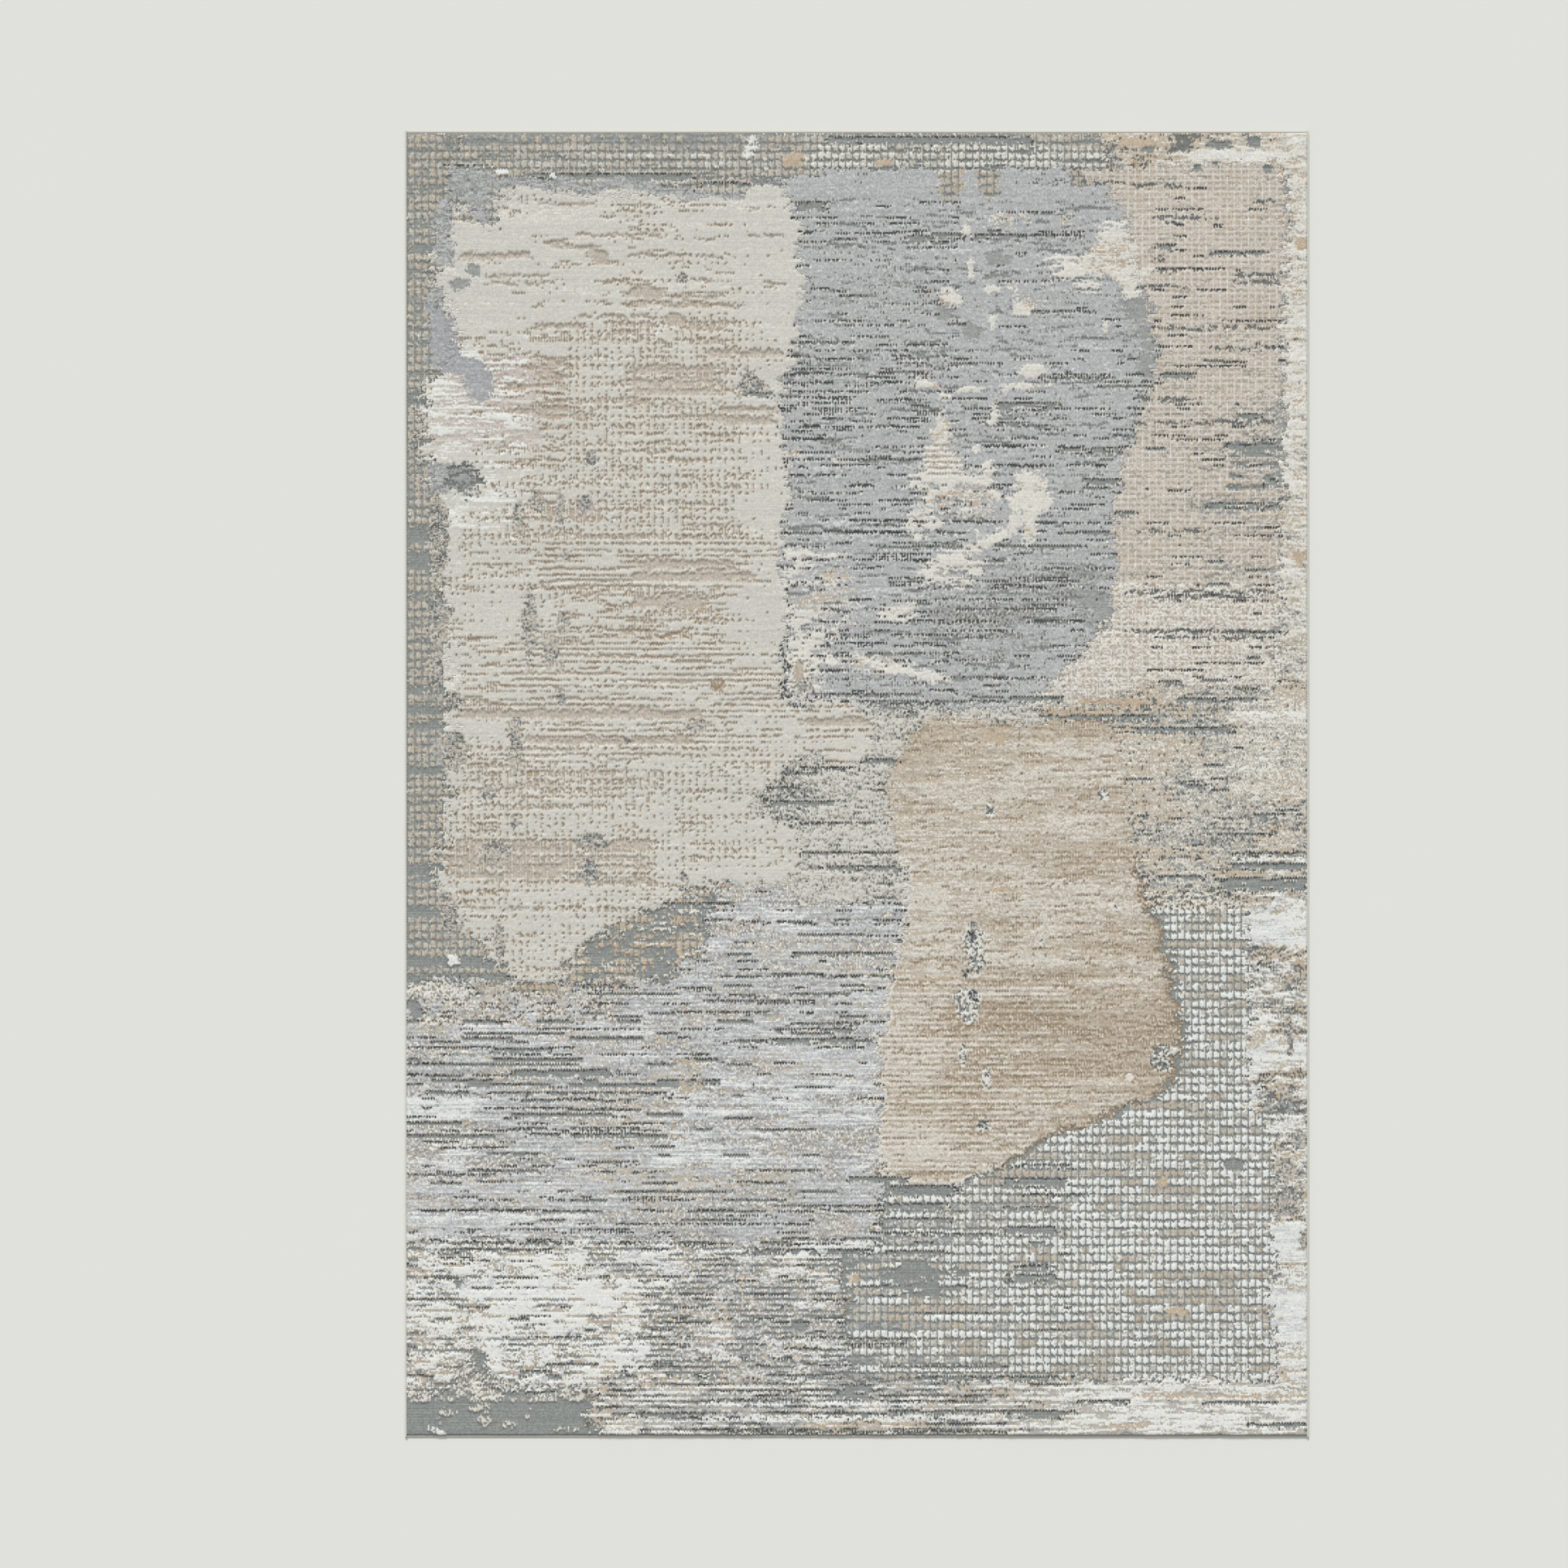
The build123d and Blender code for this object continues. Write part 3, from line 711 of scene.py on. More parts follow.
def sand_shape():
    rib = np.where(ROW % 4 < 2, 0.22, -0.22)
    tone = 0.5 + 0.34 * STREAK + 0.22 * CLOUD + 0.4 * DASH + 0.1 * (TWILL - 0.5)
    tone += rib * shaded((0.7, 82, 150, 118, 172), (0.7, 84, 172, 112, 187))
    tone += shaded((0.08, 90, 111, 128, 124), (-0.16, 84, 103, 132, 106), (0.16, 108, 134, 132, 144),
                   (-0.2, 104, 143, 134, 145), (0.14, 100, 145, 136, 148), (-0.14, 118, 151, 136, 158),
                   (-0.26, 96, 154, 118, 159), (-0.12, 90, 156, 112, 160), (0.14, 84, 134, 96, 187),
                   (0.14, 84, 176, 110, 187), (-0.3, 89, 183.6, 102, 185.2), (-0.12, 112, 158, 138, 170))
    at = ground("sand", tone + 0.06, (0.06, plain((165, 147, 123), LOW)),
                (0.3, plain((180, 166, 147), MIDDLE)), (0.66, plain(SAND, RAISED)),
                plain((211, 206, 195), HIGH))
    fine = at & (0.5 - 0.6 * tone + 0.5 * STREAK_C > ROW_SCREEN + 0.1 * (Y < 126))
    lay(fine, plain((172, 155, 132), LOW))
    # Painted highlight: a pale high row on about half the stitches under each fine dark line.
    lay(at & (np.roll(fine, 1, axis=0)) & (PAIR < 0.5), plain((212, 206, 193), HIGH))
    boxes(tan, (102.4, 106.2, 106.7, 108.5), (90, 149.6, 99, 150.2), (104, 133.8, 110, 134.4))
    discs(bright_pepper, (102.6, 118.6, 104.6, 121.2), (98.6, 139.8, 102.4, 144.6),
          (99.4, 144, 102.7, 149.8), (97.2, 151, 101.7, 157.5), (98, 161, 99.4, 165.4),
          (102, 165.6, 103.9, 169), (101, 174.5, 103.9, 177), (132, 161.4, 137, 166.6),
          (122.4, 116.4, 124.6, 118.6), (125, 136.8, 126.8, 138), (112, 142.6, 113, 144.6))
    discs(dark_pepper, (99.4, 141, 101, 143.4), (99.8, 151.2, 101.2, 154), (101.6, 174.8, 103, 176.2),
          (98.6, 148, 100, 150))
    discs(ivory, (127.6, 166.6, 129, 168), (106.6, 177, 107.8, 178), rough=0.2)
    rim = at & ~(np.roll(at, -3, axis=1) & np.roll(at, -2, axis=0) & np.roll(at, 2, axis=1))
    lay(rim & within(104, 128) & (PAIR < 0.8), umber)
    lay(rim & within(0, 128, 104), ivory)


def slate_wedge():
    at = field("slate_wedge")
    checks(at, 0.4 + 0.5 * CLOUD_C, (0.34, slate), (0.7, tan), oatmeal)
    scatter(at, cream_pepper, STREAK_C, 0.12)
    grid = mixed(TICK & (FLECK < 0.6), plain((178, 163, 144), LOW), cream)
    for x1, y0, y1 in ((47, 132, 136.2), (44.6, 136, 137.6), (39.5, 137.4, 139.6), (36, 139.4, 141.8),
                       (33, 141.6, 143.4), (30, 143.2, 146.2), (28, 146, 150)):
        lay(at & box(14, y0, x1, y1), grid)


def slate_checks():
    at = field("slate_check")
    left = np.clip((112 - X) / 32, 0, 1) * (Y > 176)
    warm = shaded((0.3, 98, 183, 150, 188), (0.3, 108, 197, 130, 199), (0.3, 106, 211, 138, 216),
                  (0.2, 84, 190, 100, 193), (0.3, 130, 168, 150, 172), (0.2, 134, 152, 150, 155))
    warm = warm[ROW // 6 * 6, COL] + 1.2 * STREAK[ROW // 6 * 6, COL] + 0.3 * CELL
    tone = 0.76 - 0.18 * left + 0.16 * CLOUD
    tone += 0.2 * np.where(ROW % 12 < 6, -1, 1) * left
    cell = mixed(warm > 0.3, hemp, oatmeal)
    light = mixed(warm > 0.5, hemp, mixed(warm > 0.36, oatmeal, white))
    checks(at, tone, (0.2, slate), (0.36, steel), (0.46, blue_grey), (0.62, cell), light)
    lay(at & (np.roll(at, 4, axis=1) == 0) & (CLOUD_C < 0.3), slate)
    bar_rows(at & within(0, 182, 118), 161, 0.1)
    bars((86, 186.4, 98, 188.3), (84.4, 192, 97, 192.9), (85, 197.8, 96, 198.8), (80, 204.2, 100, 204.9),
         (84.4, 189.6, 96, 190.5), (84.4, 194.6, 97, 195.2), (106, 185.2, 117, 187),
         (106, 190.2, 116, 190.8), (106, 193.5, 116, 195), (107, 200.5, 116), (107, 202.2, 116, 203.8),
         (78, 213.3, 92), (78, 214.4, 88.8, 215), (90, 220, 118, 220.8), (106, 182.6, 118, 183.2),
         (110, 187.8, 120))
    discs(slate, (86, 199.6, 97, 205.4), (75, 199.6, 79, 204), (145.6, 181.8, 148.4, 183.6), rough=2)
    scatter(at & (Y < 137.5), salt, CLOUD_C, 0.75)
    discs(tan, (132.8, 184.6, 135, 187), (78.6, 202.2, 81, 204), (134.6, 208, 138, 209.6), rough=1.6)


def right_white():
    tone = 0.74 + 0.3 * STREAK_B + 0.42 * CLOUD_C + 0.5 * DASH
    tone += shaded((0.08, 148, 139, 160, 144), (-0.26, 149, 144, 160, 160), (0.1, 148, 160, 154, 164),
                   (-0.35, 151, 166, 160, 175), (-0.25, 152, 176, 160, 193), (0.3, 152, 194, 160, 200),
                   (-0.2, 153, 201.5, 160, 204.6), (0.3, 152, 205, 160, 214), (-0.1, 150, 214, 160, 224))
    clear = mixed(STREAK_B + 0.4 * DASH < -0.1, plain((210, 212, 211), HIGH), white)
    at = ground("right_white", tone, (0.24, dark_slate), (0.44, warm_or_grey), (0.6, oatmeal), clear)
    bar_rows(at, 171, 0.08)
    bars((151.5, 146.8, 153.3, 148), (151.4, 166.7, 152.2, 169.8))
    discs(grey_pepper, (157, 176.6, 159.5, 180), (153.7, 181.6, 157.8, 185.8), (153.7, 187.4, 158.8, 192.2),
          (158.2, 194, 160, 198), (156, 157, 157.2, 163.7))


def knots_of(warm):
    """Knotty mix of tan, grey and ivory stitches, tan where warm is below 0."""
    middle = mixed(warm < 0, tan, taupe)
    return graded(SPECK + 0.2 * TEETH, (-0.1, steel), (0.04, middle), (0.3, blue_grey), ivory)


def blue_stripes():
    rows = np.where(ROW % 3 == 0, -0.2, 0.06) * (LONG_RUN < 0.7)
    tone = 0.6 + 0.3 * STREAK + 0.2 * CLOUD_C + 0.34 * DASH + rows
    tone += shaded((-0.12, 0, 150, 40, 160), (0.3, 0, 171, 13, 182), (0.25, 10, 157, 20, 160.4),
                   (0.2, 20, 156, 44, 166), (0.14, 44, 168, 84, 184), (-0.08, 14, 160, 48, 172),
                   (0.25, 0, 182.4, 18, 184), (0.2, 0, 191, 42, 193), (-0.14, 40, 184, 70, 196),
                   (0.1, 52, 138, 72, 146), (0.3, 64, 196.4, 84, 198))
    warm = CLOUD_B + 0.5 * STREAK_C + shaded((-0.3, 44, 160, 56, 172), (-0.12, 0, 180, 60, 192),
                                             (-0.1, 30, 134, 70, 146), (0.2, 56, 168, 90, 182))
    light = mixed(warm < -0.32, oatmeal, blue_grey)
    at = ground("blue_stripe", tone, (0.04, charcoal_and_shade), (0.17, dark_slate),
                (0.34, mixed(warm < -0.28, tan, steel)), (0.64, light), (0.9, pale_blue), white)
    scatter(at & within(0, 150, 37, 158), salt, CLOUD_C + 0.5 * SPECK, 0.7)
    scatter(at & (X < 86), knots_of(CLOUD_B - 0.1), STREAK + 0.7 * CLOUD_C, 0.36)
    carve_rows(at & (Y < 172), 141, 0.3)
    carve_rows(at & (Y > 172) & ((X < 46) | (Y > 184)), 142, 0.3)
    bar_rows(at & (Y > 140), 143, 0.2)
    bar_rows(at & within(0, 156, 62, 180), 144, 0.36, 3)
    bars((15, 162.1, 25.9, 162.9), (19, 165.8, 37.4, 167.3), (3.4, 169.5, 11.9, 170.6), (15, 169.9, 47),
         (19, 171, 41.2, 171.6), (19.7, 176, 41.9), (22, 177.2, 41.9), (13.6, 180.6, 24.8),
         (32.7, 182, 41.9), (10.5, 183.7, 24.5), (0.5, 184.4, 15.3), (0.5, 152, 3, 157),
         (68.7, 145.1, 86.7, 145.8), (72.5, 149, 86.7), (53.4, 152.5, 63), (67.4, 152.4, 78.2),
         (53.4, 153.6, 72.5, 154.2), (54, 155.6, 63.6), (67.7, 157.7, 80.6), (65.3, 158.7, 79.6),
         (65, 160.4, 82.7, 161.4), (54.8, 160.7, 64.3), (78, 184.9, 89, 185.9), (60, 183.5, 73),
         (65, 189.8, 84), (56, 191.5, 66), (66, 195.7, 84), (58.5, 197.5, 66.7, 198.8),
         (67.6, 197.5, 73.5, 198.8), (74.5, 197.5, 82, 198.8), (46, 136.3, 58, 137), (60, 139.7, 72))
    grooves((161.9, 0.5, 15.3), (188.9, 13, 28), (188.9, 39, 53), (194.3, 6, 27), (194.3, 29.3, 40.5))
    lay(box(0.5, 150.6, 11.6, 153.2), cream_pepper)
    discs(grey_pepper, (12, 150.2, 19, 152.6), (26.9, 150.4, 29.3, 152.6))
    lay(box(19.4, 150.6, 26.9, 152.3), mixed(CHECK_LINE, slate, tan))
    warm_patch = outline((47.6, 165), (50, 162.8), (52.6, 166), (52.4, 170), (48, 171.4))
    lay(warm_patch & (SPECK + 0.8 * STREAK_C < -0.05), hemp)
    scatter(box(53, 139, 63, 141.4), plain(UMBER, MIDDLE), 0.5 * SPECK + 0.7 * STREAK_C, 0.2)


def white_streaks():
    at = field("white_streak")
    grey_side = ramp(X + 16 * CLOUD, 34, 12) * (Y > 200)
    amount = 0.5 - 0.5 * CLOUD_C + 0.3 * STREAK_B + 0.2 * grey_side + 0.2 * DASH
    amount += shaded((-0.16, 0, 202.5, 36, 211), (0.16, 4, 196, 46, 199), (0.14, 0, 212, 9, 223))
    warm = CLOUD_B + shaded((-0.4, 0, 207, 9, 214), (-0.4, 6, 200, 34, 201.4), (-0.3, 12, 208, 38, 210),
                            (-0.3, 34, 205, 38, 212), (-0.3, 52, 216, 66, 221), (-0.2, 16, 216, 24, 224))
    lay(at, mixed(amount + 0.5 * STREAK_C > 0.62, pale_blue, white))
    beige = graded(SPECK + 0.2 * (warm > 0), (-0.22, steel), (0.14, hemp), white)
    knots = mixed(grey_side > 0.5, knots_of(warm - 0.06), beige)
    scatter(at, knots, 0.5 - amount + 0.4 * STREAK_C, 0.45)
    line = graded(0.7 * amount + 0.5 * TWIN_RUN, (0.56, mixed(warm < 0.2, hemp, steel)), slate)
    lay(at & TWIN_ROW & (TWIN_RUN < amount) & (FLECK < 0.93), line)
    carve_rows(at & (grey_side > 0.5), 151, 0.24)
    carve_rows(at & (grey_side < 0.5), 152, 0.1)
    bar_rows(at, 153, 0.1)
    bars((8.2, 196.4, 28.2), (6.8, 197.6, 26.2), (66.7, 213, 77.9), (67.7, 215.2, 77.9), (38, 218.3, 53),
         (40, 213, 52))
    grooves((199.7, 9.9, 23), (202.7, 14.6, 25.5), (213.3, 20.8, 34.7))
    discs(slate, (8.8, 202.6, 10.4, 204.6), (68.2, 210, 71.6, 212.4), rough=1.2)
    lay(outline((12.8, 215.3), (14.8, 217), (14.6, 219.6), (12.9, 221.4), (14.8, 223.7), (9.9, 223.7),
                (11.4, 221.4), (11.8, 217)), slate)


def slate_block():
    at = field("slate_block")
    lay(at, slate)
    scatter(at & (Y < 224.6), cream_pepper, CLOUD_C + SPECK, 0.5)
    knots = mixed(PAIR < 0.6, plain((213, 207, 195), HIGH), slate)
    discs(knots, (4.1, 225.8, 9.2, 226.9), (11.7, 224.4, 15.3, 226.6), (21.8, 225.6, 23.8, 226.6),
          (25.9, 226.3, 27, 227), (5.8, 227.5, 6.6, 228.7), (17, 228.2, 19.4, 229.4), (21, 227, 23, 227.6),
          (26.5, 229.2, 31, 229.8), (13, 227.2, 15.2, 229.3), (28, 222.6, 33, 224.4), rough=1.4)
    lay(crack(0.6, (4.8, 229.4), (6.6, 230.5)), white)


def foot_strip():
    rows = np.where(ROW % 4 < 2, -0.2, 0.12)
    right = ramp(X, 100, 30)
    tone = 0.54 + 0.4 * STREAK_B + 0.3 * DASH + 0.3 * (TWIN_RUN - 0.5) + rows * (1 - 0.8 * right)
    tone += 0.24 * right
    at = ground("foot_streak", tone, (0.14, charcoal_and_shade), (0.32, dark_slate), (0.46, warm_or_grey),
                (0.58, blue_grey), (0.72, oatmeal), white)
    bars((54.4, 222.6, 70.8), (54.4, 224, 70.8), (36, 226.7, 53.4, 227.3), (85.7, 226, 106.7, 226.8),
         (71.4, 226.7, 85.7), (106.7, 226.2, 118, 227.5), (118.6, 224.4, 128.5, 225), (57.8, 229.8, 107),
         (77, 221.6, 82.6, 224.2), (149.2, 228.4, 160, 229.2), (141, 224.6, 155))
    boxes(white, (53, 224.9, 68, 225.4), (72.5, 224.9, 92, 225.4), (53, 227.4, 107, 227.9),
          (33, 229.6, 42, 230))
    boxes(tan, (72.5, 228.5, 84, 229), (84.4, 228.5, 92, 229), (128, 223.4, 160, 223.9),
          (123, 228.8, 131, 229.2))


def interlock():
    """Lets some stitches reach one row down, across an edge between high and low pile."""
    above = np.roll(face_height, 1, axis=0)
    reach = (abs(above - face_height) > 1.2) & (COL % 2 == ROW % 2) & (PAIR < 0.7)
    face_colour[reach] = np.roll(face_colour, 1, axis=0)[reach]
    face_height[reach] = above[reach]


# Later paint lies over earlier paint where a shape crosses the edge of its field.
for paint in (head_border, left_border, slate_wedge, blue_field, cream_field, blue_margin,
              spots_in_cream, peach_lattice, cracks_in_blue, right_cream, stipple, speckle,
              sand_shape, slate_checks, right_white, blue_stripes, white_streaks, slate_block,
              foot_strip, interlock):
    paint()

# --- Mesh and material helpers ---


def new_object(name, data):
    """An object in the scene, at the origin."""
    made = bpy.data.objects.new(name, data)
    bpy.context.scene.collection.objects.link(made)
    return made


def dips(along):
    """A wave of 0 to 1, which starts at 0 and comes back to it after each stitch."""
    return 0.5 - 0.5 * np.cos(math.tau * along / STITCH)


def to_linear(colour):
    """Linear light from display values of 0 to 255."""
    share = np.asarray(colour, float) / 255
    return np.where(share <= 0.04045, share / 12.92, ((share + 0.055) / 1.055) ** 2.4)


def build_mesh(name, points, faces, smooth=True):
    """A mesh object from points and quads, without the points that no quad uses."""
    used, corners = np.unique(faces, return_inverse=True)
    mesh = bpy.data.meshes.new(name)
    mesh.vertices.add(len(used))
    mesh.vertices.foreach_set("co", np.asarray(points, np.float32)[used].ravel())
    mesh.loops.add(faces.size)
    mesh.loops.foreach_set("vertex_index", corners.astype(np.int32).ravel())
    mesh.polygons.add(len(faces))
    mesh.polygons.foreach_set("loop_start", np.arange(0, faces.size, 4, dtype=np.int32))
    mesh.polygons.foreach_set("use_smooth", np.full(len(faces), smooth))
    mesh.update(calc_edges=True)
    mesh.validate()
    return new_object(name, mesh)


def flat_uv(piece):
    """Lays a map over the piece from above, which all but fills its square."""
    points = np.array([v.co[:2] for v in piece.data.vertices])
    low, high = points.min(0), points.max(0)
    corners = np.empty(len(piece.data.loops), np.int32)
    piece.data.loops.foreach_get("vertex_index", corners)
    places = 0.01 + 0.98 * (points - low) / (high - low)
    layer = piece.data.uv_layers.new(name="OFBake")
    layer.data.foreach_set("uv", places[corners].astype(np.float32).ravel())


def walls_under(quads, count):
    """Walls under the open edges of quads, and the quad that each hangs from.

    The lower points are numbered a count further on than the upper ones.
    """
    starts, ends = quads.ravel(), np.roll(quads, -1, axis=1).ravel()
    alone = ~np.isin(starts * count + ends, ends * count + starts)
    starts, ends = starts[alone], ends[alone]
    walls = np.stack([ends, starts, starts + count, ends + count], axis=-1)
    return walls, np.flatnonzero(alone) // 4


slot_of = {part["node"]: part["material_slot"] for part in frame["record"]["subparts"]}


def place(piece, material, node):
    """Puts a piece, with a material, in the place of a CAD node, which it hides."""
    piece.data.materials.append(material)
    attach(piece, "root")
    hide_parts(node)


class Nodes:
    """A short way to write a material's nodes."""

    def __init__(self, name):
        self.material = bpy.data.materials.new(name)
        self.material.use_nodes = True
        self.tree = self.material.node_tree
        self.shader = self.tree.nodes["Principled BSDF"]
        self.place = self.add("ShaderNodeTexCoord").outputs["Object"]

    def add(self, kind, inputs=(), **settings):
        node = self.tree.nodes.new(kind)
        for key, value in settings.items():
            setattr(node, key, value)
        for key, value in dict(inputs).items():
            if isinstance(value, bpy.types.NodeSocket):
                self.tree.links.new(value, node.inputs[key])
            else:
                node.inputs[key].default_value = value
        return node

    def math(self, operation, first, second=0.0):
        return self.add("ShaderNodeMath", {0: first, 1: second}, operation=operation).outputs[0]

    def noise(self, scale, detail=2.0):
        inputs = {"Vector": self.place, "Scale": scale, "Detail": detail}
        return self.add("ShaderNodeTexNoise", inputs).outputs["Fac"]

    def ridges(self, pitch, axis):
        """A wave of 0 to 1 along an axis, with its crests a pitch apart.

        The 0.5 that it adds is the Math node's own third value.
        """
        along = self.add("ShaderNodeSeparateXYZ", {0: self.place}).outputs[axis]
        turned = self.math("MULTIPLY", along, math.tau / pitch)
        return self.math("MULTIPLY_ADD", self.math("COSINE", turned), 0.5)

    def tone(self, colour, low, high, amount):
        """The colour, times low where the amount is 0 and high where it is 1."""
        span = self.add("ShaderNodeMapRange", {"Value": amount, "To Min": low, "To Max": high})
        grey = self.add("ShaderNodeCombineColor", dict.fromkeys(range(3), span.outputs[0]))
        if not isinstance(colour, bpy.types.NodeSocket):
            colour = (*to_linear(colour), 1)
        # The colour sockets of a Mix node are inputs 6 and 7, and output 2.
        inputs = {0: 1.0, 6: colour, 7: grey.outputs[0]}
        return self.add("ShaderNodeMix", inputs, data_type="RGBA", blend_type="MULTIPLY").outputs[2]

    def finish(self, colour, height, depth, roughness=0.9, sheen=0.0):
        self.tree.links.new(colour, self.shader.inputs["Base Color"])
        bump = self.add("ShaderNodeBump", {"Height": height, "Distance": depth, "Strength": 0.6})
        self.tree.links.new(bump.outputs[0], self.shader.inputs["Normal"])
        for key, value in (("Roughness", roughness), ("Specular IOR Level", 0.2),
                           ("Sheen Weight", sheen), ("Sheen Roughness", 0.5)):
            self.shader.inputs[key].default_value = value
        return self.material


def pile_material(name, sheen, roughness, fibre):
    """Cut pile: the painted yarn, a tuft to each stitch, and fibres. The colour has painted shade between
    the tufts.
    """
    nodes = Nodes(name)
    yarn = nodes.add("ShaderNodeAttribute", attribute_name="Yarn").outputs["Color"]
    tuft = nodes.math("MULTIPLY", nodes.ridges(STITCH, 0), nodes.ridges(STITCH, 1))
    fibres = nodes.noise(fibre, 3.0)
    # Painted shade: the colour is darker between the tufts and lighter on their tops.
    colour = nodes.tone(yarn, 0.97, 1.06, tuft)
    colour = nodes.tone(colour, 0.9, 1.1, fibres)
    height = nodes.math("ADD", nodes.math("MULTIPLY", tuft, 0.5), fibres)
    return nodes.finish(colour, height, 0.0008, roughness, sheen)


# --- Pile fields ---

MILLIMETRE = 0.001
LOWEST_PILE = 1.5  # in millimetres
EDGE_SLOPE = 0.8

# Each stitch is one face. A corner of the grid takes the height of the stitch above it
# towards the head, so that a groove is dark on its shaded side and lit on the other.
height = np.clip(face_height, LOWEST_PILE, (PILE_TOP - CLOTH_TOP) * 1000) * MILLIMETRE + CLOTH_TOP
corner_z = np.pad(height, ((1, 0), (0, 1)), mode="edge")
sloped_z = CLOTH_TOP + EDGE_SLOPE * (corner_z - CLOTH_TOP)
sloped_z[1:-1, 1:-1] = corner_z[1:-1, 1:-1]
corner_x, corner_y = np.meshgrid(
    np.linspace(FACE_LEFT, FACE_RIGHT, COLS + 1), np.linspace(FACE_HEAD, FACE_FOOT, ROWS + 1)
)
corners = np.stack([corner_x, corner_y, sloped_z], axis=-1).reshape(-1, 3)
number = np.arange(len(corners)).reshape(corner_x.shape)
stitches = np.stack([number[1:, :-1], number[1:, 1:], number[:-1, 1:], number[:-1, :-1]], axis=-1)
yarn_colour = to_linear(face_colour)


def pile_piece(name):
    """The relief of one pile field, with walls down to the cloth."""
    here = field(name.removesuffix("_pile"))
    quads, colours = stitches[here], yarn_colour[here]
    used, quads = np.unique(quads, return_inverse=True)
    quads, points = quads.reshape(-1, 4), corners[used]
    walls, above = walls_under(quads, len(points))
    foot = points.copy()
    foot[:, 2] = CLOTH_TOP
    faces = np.concatenate([quads, walls])
    piece = build_mesh(f"{name}_woven", np.concatenate([points, foot]), faces)
    colours = np.concatenate([colours, colours[above]])
    yarn = piece.data.attributes.new("Yarn", "FLOAT_COLOR", "FACE")
    yarn.data.foreach_set("color", np.c_[colours, np.ones(len(colours))].astype(np.float32).ravel())
    flat_uv(piece)
    return piece


# Sheen, roughness, and how fine the fibres of each yarn are.
YARN_FINISH = {
    "cream_yarn": (0.12, 0.9, 1500),
    "blue_grey_yarn": (0.15, 0.85, 1700),
    "sand_yarn": (0.1, 0.88, 1600),
    "peach_yarn": (0.08, 0.92, 1500),
    "stipple_yarn": (0.06, 0.95, 1300),
    "slate_yarn": (0.05, 0.95, 1400),
    "white_yarn": (0.12, 0.9, 1600),
    "check_yarn": (0.06, 0.94, 1400),
    "light_blue_yarn": (0.12, 0.88, 1600),
}
for slot, finish in YARN_FINISH.items():
    material = pile_material(slot, *finish)
    for node in PILE_NODES:
        if slot_of[node] == slot:
            place(pile_piece(node), material, node)

# --- Edges: serging, cords, hems and seams ---

SERGING_PITCH = 0.0034
CORD_TWIST = 0.006
RINGS_PER_PITCH = 5
HEM_RIB = 0.00012
SEAM_PITCH = 0.0036
SEAM_RADIUS = 0.00026


def tube_faces(count, around):
    """Quads of a tube through so many rings of points, with a lid at each end."""
    number = np.arange(count * around).reshape(count, around)
    beside = np.roll(number, -1, axis=1)
    quads = np.stack([number[:-1], beside[:-1], beside[1:], number[1:]], axis=-1).reshape(-1, 4)
    half = around // 2
    lid = np.array([(k, k + 1, around - 2 - k, around - 1 - k) for k in range(half - 1)])
    return np.concatenate([quads, lid[:, ::-1], lid + (count - 1) * around])


def tube(name, sections):
    """A closed tube through sections, each an array of points."""
    return build_mesh(name, sections.reshape(-1, 3), tube_faces(*sections.shape[:2]))


def wound_rod(name, node, pitch, plies, relief, around, squareness):
    """Yarn wound or twisted round an axis along Y, in the box of its CAD node."""
    low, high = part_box(node)
    middle, half = (low + high) / 2, (high - low) / 2
    turn = np.arange(around) / around * math.tau
    along = np.linspace(low.y, high.y, int((high.y - low.y) / pitch * RINGS_PER_PITCH) + 1)
    phase = plies * turn[None, :] + math.tau * along[:, None] / pitch
    swell = 1 - relief * (0.5 - 0.5 * np.cos(phase)) ** 2
    side, up = np.cos(turn), np.sin(turn)
    side = np.sign(side) * abs(side) ** squareness
    up = np.sign(up) * abs(up) ** squareness
    x = middle.x + half.x * side * swell
    z = middle.z + half.z * up * swell
    return tube(name, np.stack([x, np.broadcast_to(along[:, None], x.shape), z], axis=-1))


def yarn_material(name, colour, pitch, axis, fibre=2500):
    """Wound, woven or ribbed yarn of one colour, with painted shade between the ribs."""
    nodes = Nodes(name)
    ribs, fibres, wear = nodes.ridges(pitch, axis), nodes.noise(fibre, 3.0), nodes.noise(14, 3.0)
    # Painted shade: the colour is darker between the ribs.
    colour = nodes.tone(nodes.tone(colour, 0.88, 1.04, ribs), 0.88, 1.12, fibres)
    colour = nodes.tone(colour, 0.95, 1.05, wear)
    return nodes.finish(colour, nodes.math("ADD", ribs, fibres), 0.0002, 0.9, 0.1)


serging_material = yarn_material("serging_yarn", (214, 213, 205), SERGING_PITCH, 1)
cord_material = yarn_material("twisted_cord", (214, 208, 190), CORD_TWIST / 3, 1)
for side in ("left", "right"):
    serging = wound_rod(f"{side}_serging_wound", f"{side}_serging", SERGING_PITCH,
                        plies=1, relief=0.16, around=16, squareness=0.62)
    place(serging, serging_material, f"{side}_serging")
    cord = wound_rod(f"{side}_cord_twisted", f"{side}_selvedge_cord", CORD_TWIST,
                     plies=3, relief=0.2, around=12, squareness=1.0)
    place(cord, cord_material, f"{side}_selvedge_cord")


